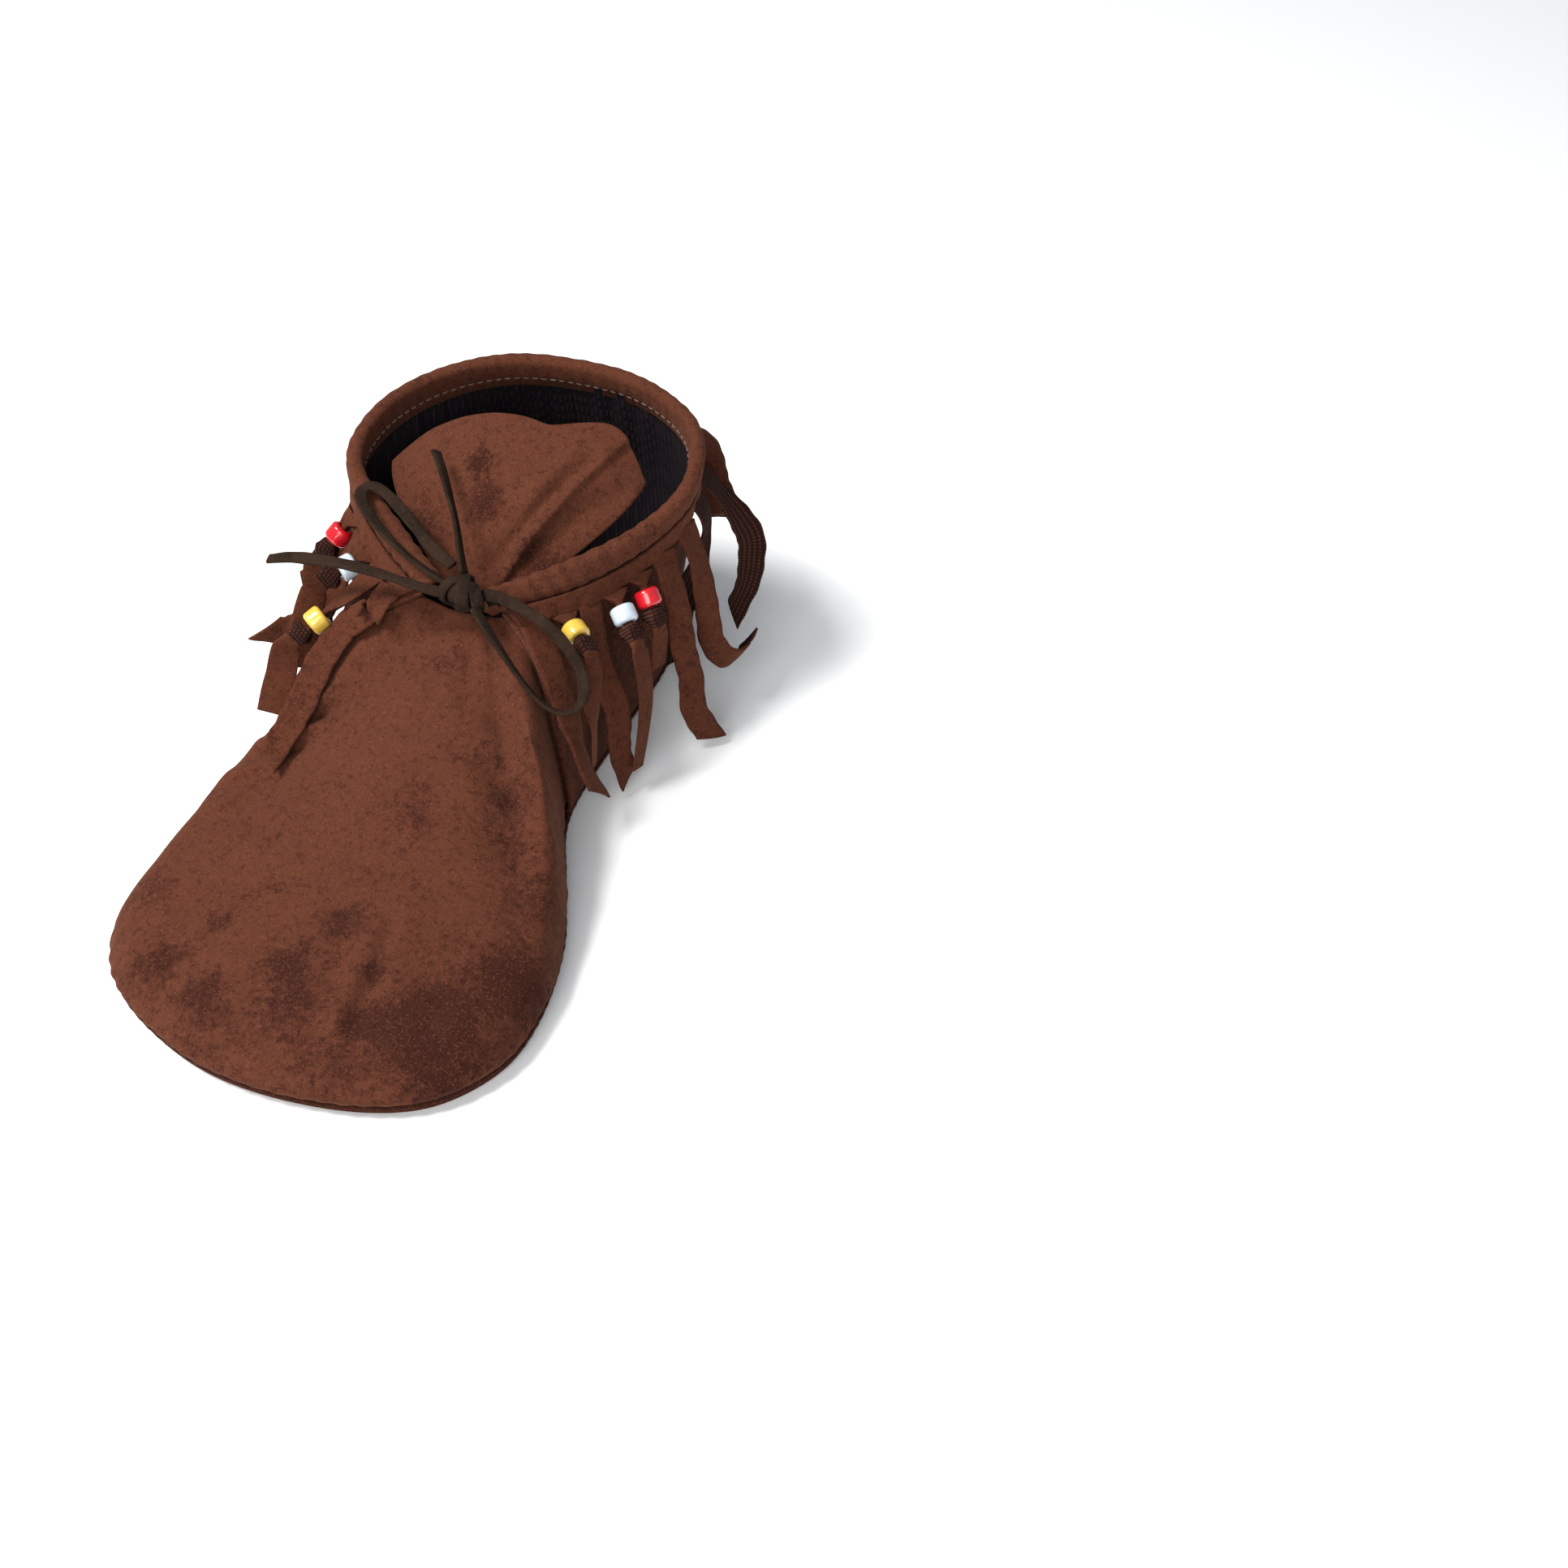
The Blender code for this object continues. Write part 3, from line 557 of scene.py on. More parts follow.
CLOTH_FACES, TRIM_FACES = ("nap", "lining"), ("trim_nap", "reverse")  # a sheet's outer and inner face
SUEDE_LIGHT = (0.079, 0.0252, 0.0140)
SUEDE_DARK = (0.025, 0.0074, 0.0052)


def make_finishes():
    return {
        "nap": suede_cloth("suede_nap", SUEDE_LIGHT, SUEDE_DARK),
        "trim_nap": suede_cloth("suede_trim", (0.073, 0.0225, 0.0122), SUEDE_DARK, 45.0, 0.74),
        "reverse": knit_reverse("knit_reverse", (0.060, 0.0225, 0.0145), (0.016, 0.0058, 0.0045)),
        "lining": knit_reverse("lining_dark", (0.020, 0.0140, 0.0175), (0.010, 0.0070, 0.0095)),
        "sole": suede_cloth("sole_cloth", (0.055, 0.018, 0.0105), SUEDE_DARK, 30.0),
        "lace": lace_cord("lace"),
        "thread": thread("stitch_thread", (0.125, 0.066, 0.042)),
        "red": glossy_bead("bead_red_gloss", (0.52, 0.008, 0.016), (0.34, 0.004, 0.010)),
        "white": glossy_bead("bead_white_gloss", (0.52, 0.59, 0.66), (0.40, 0.47, 0.55)),
        "yellow": glossy_bead("bead_yellow_gloss", (0.64, 0.43, 0.060), (0.50, 0.32, 0.04)),
    }


# ---- Mesh building ----------------------------------------------------------------------------------
def wander(points, scale, seed=0.0):
    """Smooth noise of about -1 to 1 at each point; scale is the size of its waves."""
    shift = Vector((seed, 2.7 * seed, -1.3 * seed))
    flat = points.reshape(-1, 3) / scale
    made = np.array([noise.noise(Vector(p) + shift) for p in flat])
    return made.reshape(points.shape[:-1])


def store(mesh, name, values):
    vector = values.size == 3 * len(mesh.vertices)
    made = mesh.attributes.new(name, "FLOAT_VECTOR" if vector else "FLOAT", "POINT")
    made.data.foreach_set("vector" if vector else "value", values.astype(np.float32).ravel())


def mesh_object(name, points, faces, looks, strip=None, brushed=None):
    """A smooth mesh with its rest place, its place along the strip and how its nap lies."""
    mesh = bpy.data.meshes.new(name)
    mesh.from_pydata(points.reshape(-1, 3).tolist(), [], faces)
    mesh.shade_smooth()
    store(mesh, "rest", points)
    store(mesh, "strip", points if strip is None else strip)
    store(mesh, "brushed", np.zeros(len(mesh.vertices)) if brushed is None else brushed)
    for look in looks:
        mesh.materials.append(FINISHES[look])
    obj = bpy.data.objects.new(name, mesh)
    bpy.context.scene.collection.objects.link(obj)
    return obj


def grid_faces(rows, columns, close_columns=False, close_rows=False):
    index = np.arange(rows * columns).reshape(rows, columns)
    if close_rows:
        index = np.vstack([index, index[:1]])
    if close_columns:
        index = np.hstack([index, index[:, :1]])
    a, b, c, d = index[:-1, :-1], index[:-1, 1:], index[1:, 1:], index[1:, :-1]
    return np.stack([a, b, c, d], -1).reshape(-1, 4).tolist()


def panel(name, grid, looks, thickness, brushed=None, strip=None, offset=-1.0):
    """A sheet of cloth with a real thickness; its inner face takes the second material."""
    obj = mesh_object(name, grid, grid_faces(*grid.shape[:2]), looks, strip, brushed)
    solid = obj.modifiers.new("Thickness", "SOLIDIFY")
    solid.thickness = thickness
    solid.offset = offset
    solid.material_offset = 1
    apply_modifiers(obj)
    return obj


def apply_modifiers(obj):
    graph = bpy.context.evaluated_depsgraph_get()
    mesh = bpy.data.meshes.new_from_object(obj.evaluated_get(graph), depsgraph=graph)
    obj.modifiers.clear()
    obj.data = mesh


def skin(name, rings, looks, brushed=None, strip=None, capped=True):
    """A closed skin round rings of points that run anticlockwise as seen from its far end."""
    rows, sides = rings.shape[:2]
    faces = grid_faces(rows, sides, close_columns=True)
    if capped:
        last = (rows - 1) * sides
        faces.append(list(reversed(range(sides))))
        faces.append(list(range(last, last + sides)))
    return mesh_object(name, rings, faces, looks, strip, brushed)


def ring_loop(name, rings, looks, brushed=None):
    """A skin whose last ring meets its first."""
    return mesh_object(name, rings, grid_faces(*rings.shape[:2], True, True), looks, None, brushed)


def place(obj, slot, *replaced, body="upper"):
    """The piece rides on the body and stands for those CAD nodes; the slot is not used."""
    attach(obj, body)
    if replaced:
        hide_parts(*replaced)
    return obj


# ---- The bow: flat laces from the knot --------------------------------------------------------------
BOW = {
    "lace_loop_outer": [
        (-6.5, 2.6, 1), (-17, 5, 4), (-29, 10.5, 7), (-40, 18, 9.5), (-47, 24.5, 11), (-50, 29.5, 12),
        (-47.5, 33, 13), (-40, 30, 12.5), (-29, 22.5, 10), (-17, 13, 7.5), (-6.5, 7, 5.5),
    ],
    "lace_tail_outer": [
        (-6.5, -2.2, 0.5), (-16, -3, 2), (-28, -2.5, 3.5), (-41, -1, 3.5), (-54, 0.5, 2), (-65, 1.5, 0),
        (-74, 2, -3),
    ],
    "lace_loop_inner": [
        (6.5, 0.5, 1), (15, 0, 1), (27, -2, -2), (37.5, -5.5, -7), (45.5, -10, -14), (48.5, -15, -20.5),
        (46, -19, -25), (40.5, -20.5, -25.5), (32.5, -20, -21), (24, -17.5, -12.5), (14, -11.5, -5),
        (6.5, -5.5, -1),
    ],
    "lace_tail_inner": [
        (-2, 6.2, 3.5), (-5, 11, 8), (-10, 20, 13.5), (-16, 29, 17.5), (-22, 38, 20.5), (-28, 46, 23),
    ],
}  # fmt: skip
LACE_TILT = {  # how far each lace's flat side is turned about its run (radians)
    "lace_loop_outer": 0.35, "lace_tail_outer": -0.25, "lace_loop_inner": 0.5, "lace_tail_inner": 0.9,
}  # fmt: skip


def flat_rings(route, facing, half_wide, half_thick, sides=12, power=0.5):
    """Rounded flat sections along a route; facing is the flat side's direction at each point."""
    run = unit(np.gradient(route, axis=0))
    across = unit(np.cross(facing, run))
    c, s = squared(sides, power)
    wide, thick = (np.broadcast_to(half, len(route))[:, None] for half in (half_wide, half_thick))
    return around(route, across, np.cross(run, across), c * wide, s * thick)


def make_laces():
    for name, points in BOW.items():
        route = curve_through(KNOT_CENTRE + np.array(points) * MM, 10)
        length = lengths_along(route)[-1]
        route = evenly(route, int(length / (1.2 * MM)))
        steps = np.arange(len(route))
        run = unit(np.gradient(route, axis=0))
        side = unit(np.cross(run, UP))
        normal = np.cross(side, run)
        turn = LACE_TILT[name] + 0.25 * np.sin(steps / 9.0)
        facing = turned(normal, side, turn)[0]
        width = LACE_FLAT / 2 * (1 + 0.05 * np.sin(steps / 3.1) + 0.03 * np.sin(steps / 1.3))
        rings = flat_rings(route, facing, width, LACE_THICK / 2)
        obj = place(skin(name.replace("lace", "bow"), rings[::-1], ["lace"]), "lace", name)


def ring_round(centre, axis, first, radius_a, radius_b, count=48):
    """A closed oval of points round an axis."""
    axis = unit(axis)
    first = unit(first)
    c, s = circle(count)
    return centre + first * radius_a * c[:, None] + np.cross(axis, first) * radius_b * s[:, None]


KNOT_WRAPS = (  # middle from the knot's, axis, the two radii, and the lace's half width and thickness (mm)
    ((0.6, 0.2, 0.3), (1.0, 0.25, 0.25), 5.6, 6.0, 2.4, 0.8),
    ((-3.6, 1.0, 0.0), (0.8, -0.6, 0.1), 4.3, 5.2, 2.2, 0.8),
    ((4.2, -0.8, -0.6), (0.75, 0.65, -0.2), 4.4, 5.0, 2.2, 0.8),
    ((0.4, -0.5, 0.6), (0.35, 0.9, 0.2), 5.0, 6.8, 2.0, 0.7),
)
KNOT_CORE = (6.0 * MM, 4.4 * MM)  # half its length and its radius


def make_knot():
    """The bow's knot: four wraps of the flat lace, crossing over a core that fills them."""
    parts = []
    c, s = squared(12, 0.6)
    for offset, axis, radius_a, radius_b, half_wide, half_thick in KNOT_WRAPS:
        middle = KNOT_CENTRE + np.array(offset) * MM
        loop = ring_round(middle, axis, UP, radius_a * MM, radius_b * MM)
        run = run_of_closed(loop)
        facing = unit(loop - middle)
        rings = around(loop, np.cross(run, facing), facing, c * half_wide * MM, s * half_thick * MM)
        parts.append(rings + 0.35 * MM * wander(rings, 4 * MM)[..., None])
    core = []
    for t in np.linspace(-1, 1, 15):
        radius = KNOT_CORE[1] * math.sqrt(max(1 - abs(t) ** 3, 0.03))
        middle = KNOT_CENTRE + np.array((t * KNOT_CORE[0], 0, 0))
        core.append(ring_round(middle, (1, 0, 0), UP, radius, radius, 12))
    first_wrap = ring_loop("bow_knot", parts[0], ["lace"])
    others = [ring_loop(f"bow_knot_fold_{i}", part, ["lace"]) for i, part in enumerate(parts[1:])]
    others.append(skin("bow_knot_core", np.array(core), ["lace"]))
    place(first_wrap, "lace", "lace_knot")
    for obj in others:
        place(obj, "lace")


# ---- The upper's panels -----------------------------------------------------------------------------
def crease(points, start, end, width, depth):
    """How far the cloth sinks beside a crease that runs from start to end, seen from above (mm)."""
    start, end = np.array(start) * MM, np.array(end) * MM
    run = end - start
    xy = points[..., :2] - start
    along = np.clip((xy @ run) / (run @ run), 0, 1)
    away = np.linalg.norm(xy - along[..., None] * run, axis=-1)
    taper = np.sin(math.pi * np.clip(0.08 + 0.84 * along, 0, 1)) ** 0.6
    valley = np.exp(-((away / (width * MM)) ** 2))
    ridge = np.exp(-(((away - 1.9 * width * MM) / (1.3 * width * MM)) ** 2))
    return depth * MM * taper * (0.4 * ridge - valley)


VAMP_CREASES = [  # start, end, half width and depth, in millimetres
    ((22, -88), (27, -136), 3.2, 1.9),
    ((10, -98), (13, -136), 4.5, 1.3),
    ((45, -98), (51, -130), 4.5, 0.9),
    ((-8, -112), (-12, -134), 5.0, 0.6),
    ((-52, -22), (-30, -12), 2.4, 3.0),
    ((-57, -34), (-36, -24), 3.0, 2.2),
    ((-62, -46), (-48, -38), 2.4, 1.6),
    ((18, -20), (52, -32), 4.5, 1.2),
    ((16, -4), (47, -12), 4.0, 1.0),
    ((28, -44), (60, -50), 5.0, 0.8),
    ((2, 20), (-16, -14), 3.0, 0.6),
    ((8, 19), (16, -12), 3.0, 0.5),
    ((4, 20), (2, -18), 3.0, 0.4),
    ((12, 21), (34, 4), 2.6, 1.2),
    ((-2, 22), (-30, 4), 2.6, 1.2),
]
VAMP_BRUSHED = [  # centre, half width and depth of patches where the nap is brushed dark, in millimetres
    (-22, -84, 8, 0.7), (-34, -100, 7, 0.7), (6, -92, 8, 0.8), (-4, -110, 9, 0.9), (2, -128, 12, 0.7),
    (-20, -140, 14, 0.35), (20, -142, 14, 0.35),
    (48, -116, 15, 0.9), (66, -92, 13, 1.2), (-62, -92, 9, 0.6), (24, -106, 4, 1.2), (28, -126, 6, 1.1),
    (-46, -120, 11, 0.9), (-26, -128, 9, 0.7), (54, -132, 16, 1.0), (60, -62, 10, 0.6), (40, -30, 9, 0.7),
    (12, -46, 9, 0.3), (24, -22, 8, 0.4), (46, -46, 7, 0.6), (-38, -18, 8, 0.6), (2, 6, 7, 0.5),
]  # fmt: skip


def brushed_at(points, patches):
    made = np.zeros(points.shape[:-1])
    for x, y, size, amount in patches:
        away = np.linalg.norm(points[..., :2] - np.array((x, y)) * MM, axis=-1)
        made += amount * np.exp(-((away / (size * MM)) ** 2))
    return np.clip(made, 0, 1.6)


def puckered(grid, rows_from_edge, spacing, depth):
    """Small gathers that run out from the first rows, where the cloth is sewn."""
    along = lengths_along(grid[2])
    wobble = 0.6 * np.sin(along / (3.7 * spacing)) + 0.4 * np.sin(along / (1.9 * spacing) + 1)
    wave = np.sin(2 * math.pi * along / spacing + 2.5 * wobble)
    return depth * wave[None, :] * rows_from_edge[:, None]


def make_vamp():
    grid = vamp_grid((300, 150))
    normals = normals_of(grid)
    up_panel = lengths_along(grid[:, 150])
    edge = np.exp(-((up_panel / (9 * MM)) ** 2)) * smooth_step(0, 2 * MM, up_panel)
    relief = puckered(grid, edge, 7 * MM, 0.35 * MM)
    relief += 0.9 * MM * wander(grid, 34 * MM) + 0.35 * MM * wander(grid, 11 * MM, 3.0)
    for start, end, width, depth in VAMP_CREASES:
        relief += crease(grid, start, end, width, depth)
    open_front = 1 - smooth_step(0.80, 0.95, np.abs(np.linspace(-1, 1, grid.shape[1])))
    settled = smooth_step(0, 5 * MM, up_panel)
    relief *= (0.15 + 0.85 * open_front)[None, :] * settled[:, None]
    grid = grid + normals * relief[..., None]
    brushed = brushed_at(grid, VAMP_BRUSHED)
    obj = panel("vamp_cloth", grid, CLOTH_FACES, CLOTH, brushed)
    place(obj, "suede", "vamp")


WALL_PANELS = (  # name, the shares where it starts and ends, and its brushed patches
    ("inner", 0.0, 0.5 - HALF_SEAM,
     [(50, 20, 14, 1.0), (52, 60, 14, 0.9), (48, 40, 10, 0.6), (44, 90, 16, 0.7)]),
    ("outer", 0.5 + HALF_SEAM, 1.0, [(-56, 10, 12, 0.9), (-58, 50, 14, 0.9), (-54, 80, 12, 0.7)]),
)  # fmt: skip


def make_quarters():
    for name, low, high, patches in WALL_PANELS:
        grid = wall_grid(low, high, (190, 90))
        normals = normals_of(grid)
        up_panel = lengths_along(grid[:, 95])
        edge = np.exp(-((up_panel / (8 * MM)) ** 2)) * smooth_step(0, 2 * MM, up_panel)
        relief = puckered(grid, edge, 8 * MM, 0.3 * MM)
        top = up_panel[-1] - up_panel
        relief += puckered(grid, np.exp(-((top / (26 * MM)) ** 2)), 9 * MM, 0.4 * MM)
        relief += 1.0 * MM * wander(grid, 30 * MM, 5.0) + 0.3 * MM * wander(grid, 10 * MM, 8.0)
        across = np.linspace(0, 1, grid.shape[1])
        inside = smooth_step(0, 0.05, across) * smooth_step(0, 0.05, 1 - across)
        relief *= inside[None, :] * smooth_step(0, 5 * MM, up_panel)[:, None]
        relief = np.minimum(relief, 0.5 * MM)
        grid = grid + normals * relief[..., None]
        obj = panel(
            f"wall_{name}", grid, CLOTH_FACES, CLOTH, brushed_at(grid, patches)
        )
        place(obj, "suede", f"quarter_{name}")


def inset(outline, distance):
    """The closed outline moved inwards."""
    run = run_of_closed(outline)
    inward = unit(np.stack([-run[:, 1], run[:, 0], 0 * run[:, 0]], -1))
    return outline + inward * np.broadcast_to(distance, len(outline))[:, None]


def pad_rings(outline, low, high, edge_radius, crown=0.0):
    """Rings of a flat pad with rounded edges, from the middle of its underside to the middle of its top."""
    centre = outline.mean(0)
    rings = []
    shares = (0.02, 0.2, 0.4, 0.6, 0.8, 0.92)
    for share in shares:
        rings.append(lerp(centre, inset(outline, edge_radius), share) * (1, 1, 0) + UP * low)
    for angle in np.linspace(-math.pi / 2, math.pi / 2, 9):
        ring = inset(outline, edge_radius * (1 - math.cos(angle)))
        half = (high - low) / 2
        rings.append(ring * (1, 1, 0) + UP * (low + half + half * math.sin(angle)))
    for share in reversed(shares):
        bulge = crown * (1 - share**2)
        rings.append(lerp(centre, inset(outline, edge_radius), share) * (1, 1, 0) + UP * (high + bulge))
    return np.array(rings)


def make_sole():
    rings = pad_rings(inset(WHOLE_EDGE, 1.5 * MM), 0.0, SOLE_THICK, 1.0 * MM)
    rings += (0.25 * MM * wander(rings, 14 * MM, 2.0) * (rings[..., 2] > 0.3 * SOLE_THICK))[..., None] * UP
    obj = skin("sole_panel", rings, ["sole"], brushed_at(rings, [(0, 0, 60, 0.4)]))
    place(obj, "sole_cloth", "sole")
    low = SOLE_THICK + GAP
    rings = pad_rings(inset(WHOLE_EDGE, INSOLE_INSET), low, low + 2.5 * MM, 1.2 * MM, 0.6 * MM)
    rings += (0.4 * MM * wander(rings, 20 * MM, 4.0) * (rings[..., 2] > low + 2 * MM))[..., None] * UP
    pad = place(skin("insole_pad", rings, ["lining"]), "lining", "insole")


def make_sole_seam():
    """The turned seam that joins the upper to the sole, a soft ridge round the edge."""
    outline = inset(evenly(np.vstack([WHOLE_EDGE, WHOLE_EDGE[:1]]), 601)[:-1], 1.5 * MM)
    along = lengths_along(outline)
    gather = np.sin(2 * math.pi * along / (5.3 * MM) + 2 * np.sin(along / (17 * MM)))
    radius = (0.95 + 0.1 * gather) * MM
    run = run_of_closed(outline)
    out = unit(np.stack([run[:, 1], -run[:, 0], 0 * run[:, 0]], -1))
    middle = outline * (1, 1, 0) + UP * (3.0 * MM)
    c, s = (wave * radius[:, None] for wave in circle(12))
    rings = around(middle, out, np.broadcast_to(UP, out.shape), c, 1.15 * s)
    obj = ring_loop("sole_seam", rings, ["nap"], np.full(rings.shape[:2], 1.1))
    place(obj, "suede")


# ---- The collar -------------------------------------------------------------------------------------
HEM_ENDS = (0.004, 0.996)


def hem_frame(shares):
    drop = HEM_HEIGHT / 2
    middle = WALL.at(shares, drop) - WALL.out(shares, drop) * CLOTH / 2
    return middle, WALL.out(shares, drop), -WALL.down(shares, drop)


def make_hem():
    """The rolled casing: fuller where it is gathered near the bow, and flatter round the heel."""
    shares = np.linspace(*HEM_ENDS, 421)
    middle, out, up = hem_frame(shares)
    along = lengths_along(middle)
    near_bow = np.exp(-((np.minimum(along, along[-1] - along) / (45 * MM)) ** 2))
    gather = np.sin(2 * math.pi * along / (6.1 * MM) + 2.2 * np.sin(along / (11 * MM)))
    half_thick = (HEM_THICK / 2) * (0.82 + 0.13 * near_bow + 0.02 * np.sin(along / (21 * MM)))
    half_high = HEM_HEIGHT / 2 - half_thick
    swell = 1 + (0.035 + 0.055 * near_bow) * gather
    c, s = circle(28, 0.5)
    full = (half_thick * swell)[:, None]
    rings = around(middle, out, up, full * c, -(half_high[:, None] * np.sign(s) + full * s))
    rings += 0.22 * MM * wander(rings, 7 * MM, 1.5)[..., None] * out[:, None, :]
    obj = skin("hem_casing", rings, ["nap"], capped=False)
    end_walls(obj, rings)
    place(obj, "suede", "collar_hem")


def end_walls(obj, rings):
    """Turns the casing's open ends in on themselves round the lace."""
    mesh = bmesh.new()
    mesh.from_mesh(obj.data)
    rows, sides = rings.shape[:2]
    mesh.faces.ensure_lookup_table()
    like = mesh.faces[0]
    for row in (0, rows - 1):
        mesh.verts.ensure_lookup_table()
        ring = [mesh.verts[row * sides + i] for i in range(sides)]
        centre = sum((v.co for v in ring), Vector()) / sides
        wall = [mesh.verts.new(centre + (v.co - centre) * 0.55, v) for v in ring]
        for i in range(sides):
            mesh.faces.new((ring[i - 1], ring[i], wall[i], wall[i - 1]), like)
    bmesh.ops.recalc_face_normals(mesh, faces=mesh.faces)
    mesh.to_mesh(obj.data)
    mesh.free()


def make_hem_stitches():
    """The topstitch along the casing's lower edge, seen inside the ankle opening."""
    shares = np.linspace(0.012, 0.988, 2001)
    drop = 8.9 * MM
    spacing, long = 3.4 * MM, 2.5 * MM
    pieces = []
    line = WALL.at(shares, drop) - WALL.out(shares, drop) * (HEM_THICK * 0.41 + 0.75 * CLOTH - 0.9 * MM)
    facings = -WALL.out(shares, drop)
    along = lengths_along(line)
    for start in np.arange(spacing, along[-1] - spacing, spacing):
        steps = start + np.linspace(0, long, 7)
        route = at_distance(line, steps)
        facing = np.stack([np.interp(steps, along, facings[:, k]) for k in range(3)], -1)
        height = 0.28 * MM * np.sin(math.pi * np.linspace(0.05, 0.95, 7))
        width = 0.36 * MM * np.sqrt(np.sin(math.pi * np.linspace(0.06, 0.94, 7)))
        rings = flat_rings(route + facing * height[:, None], facing, width, 0.8 * width, 6, 1.0)
        pieces.append(rings[::-1])
    points, faces = [], []
    for rings in pieces:
        first = sum(len(p) for p in points)
        rows, sides = rings.shape[:2]
        faces += (np.array(grid_faces(rows, sides, True)) + first).tolist()
        faces.append([first + i for i in reversed(range(sides))])
        faces.append([first + (rows - 1) * sides + i for i in range(sides)])
        points.append(rings.reshape(-1, 3))
    obj = mesh_object("hem_stitches", np.vstack(points), faces, ["thread"])
    place(obj, "suede")


def make_allowance():
    """The casing's raw edge inside, below its stitches."""
    shares = np.linspace(0.01, 0.99, 361)
    drops = np.array((HEM_HEIGHT - 1.0 * MM, HEM_HEIGHT + 1.2 * MM, HEM_HEIGHT + 3.6 * MM))[:, None]
    shares, drops = np.broadcast_arrays(shares[None, :], drops)
    ragged = 0.3 * MM * np.sin(shares * 900) * (drops > HEM_HEIGHT + 3 * MM)
    points = WALL.at(shares, drops + ragged) - WALL.out(shares, drops) * (CLOTH + 0.75 * MM)
    obj = panel("hem_allowance", points[::-1][:, ::-1], TRIM_FACES, 0.5 * MM)
    place(obj, "suede")


def make_drawstring():
    shares = np.linspace(*HEM_ENDS, 201)
    middle, out, _ = hem_frame(shares)
    stub = 3.0 * MM
    start = middle[0] + unit(middle[0] - middle[1]) * stub
    end = middle[-1] + unit(middle[-1] - middle[-2]) * stub
    route = np.vstack([start, middle, end])
    facing = np.vstack([out[:1], out, out[-1:]])
    rings = flat_rings(route, facing, 1.3 * MM, 0.7 * MM)
    place(skin("drawstring_lace", rings[::-1], ["lace"]), "lace", "drawstring")


def make_back_seam():
    """Where the two wall panels are sewn together, a low ridge down the heel."""
    drops = np.linspace(HEM_HEIGHT + 0.5 * MM, WALL.length(0.5) - 1 * MM, 90)
    route = WALL.at(0.5, drops) - WALL.out(0.5, drops) * 0.45 * MM
    width = (0.95 + 0.12 * np.sin(drops / (1.3 * MM))) * MM
    rings = flat_rings(route, WALL.out(0.5, drops), width, 0.7 * MM, 10, 0.9)
    place(skin("back_seam", rings[::-1], ["nap"], np.full(rings.shape[:2], 1.0)), "suede")


# ---- Tongue -----------------------------------------------------------------------------------------
def tongue_grid(cells):
    across = np.linspace(-1, 1, cells[0] + 1)[None, :]
    share = np.linspace(0, 1, cells[1] + 1)[:, None]
    across, share = np.broadcast_arrays(across, share)
    half = (7 + 54 * share**0.9 - 12 * share**3) * MM
    lobes = 0.10 * np.exp(-(((across - 0.72) / 0.27) ** 2)) - 0.022 * np.exp(-(((across - 0.22) / 0.12) ** 2))
    rounded = 1 - 0.13 * np.abs(across) ** 3 * share + lobes * share**3
    run = TONGUE_LENGTH * share * rounded
    shoulder = share * (across > 0)
    droop = ((0.33 - 0.17 * shoulder) * half + 2 * MM * share) * np.abs(across) ** (2 + 2 * shoulder)
    crown = TONGUE_CROWN * np.sin(math.pi * share)
    points = np.stack(
        [
            -TONGUE_DRIFT * share + half * across,
            run * math.cos(TONGUE_SLOPE),
            run * math.sin(TONGUE_SLOPE) + crown - droop,
        ],
        -1,
    )
    return TONGUE_ROOT + points, across, share


TONGUE_CREASES = [
    ((4, 34), (30, 78), 2.6, 2.6),
    ((8, 33), (44, 74), 3.4, 1.6),
    ((2, 34), (12, 60), 3.0, 0.9),
    ((-2, 36), (-26, 62), 4.0, 1.0),
    ((-8, 36), (-34, 50), 3.0, 1.0),
]


def step_down(points, start, end, width, depth):
    """The cloth on the inner side of a line from start to end, seen from above, lies lower (mm)."""
    start, end = np.array(start) * MM, np.array(end) * MM
    run = unit(end - start)
    beside = (points[..., 0] - start[0]) * run[1] - (points[..., 1] - start[1]) * run[0]
    return -depth * MM * smooth_step(0.0, width * MM, beside)


def make_tongue():
    grid, _, share = tongue_grid((130, 120))
    relief = 1.2 * MM * wander(grid, 32 * MM, 6.0) + 0.3 * MM * wander(grid, 9 * MM, 7.0)
    for start, end, width, depth in TONGUE_CREASES:
        relief += crease(grid, start, end, width, depth)
    relief += step_down(grid, (13, 40), (37, 84), 2.5, 2.6)
    relief *= smooth_step(0.0, 0.25, share)
    grid = grid + normals_of(grid) * relief[..., None]
    spots = [(-8, 68, 6, 1.3), (-1, 56, 6, 1.2), (20, 46, 8, 0.7), (-20, 50, 8, 0.4)]
    obj = panel("tongue_flap", grid, CLOTH_FACES, CLOTH, brushed_at(grid, spots))
    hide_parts("tongue")
    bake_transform(obj)


# ---- Fringe -----------------------------------------------------------------------------------------
def upper_surface():
    points, faces = [], []
    for grid in (vamp_grid((96, 40)), wall_grid(0.0, 1.0, (104, 40))):
        rows, columns = grid.shape[:2]
        faces += (np.array(grid_faces(rows, columns)) + len(points)).tolist()
        points += grid.reshape(-1, 3).tolist()
    return BVHTree.FromPolygons([Vector(p) for p in points], faces)


SURFACE = upper_surface()


def nearest(point):
    near, normal, _, _ = SURFACE.find_nearest(Vector(point))
    return np.array(near), np.array(normal)


def clear_of(point, distance):
    near, normal = nearest(point)
    if (point - near) @ normal < distance:
        point = near + normal * distance
    return np.array((point[0], point[1], max(point[2], FLOOR_GAP)))


def strand_share(number):
    return FIRST_STRAND + (LAST_STRAND - FIRST_STRAND) * (number - 1) / (STRANDS - 1)


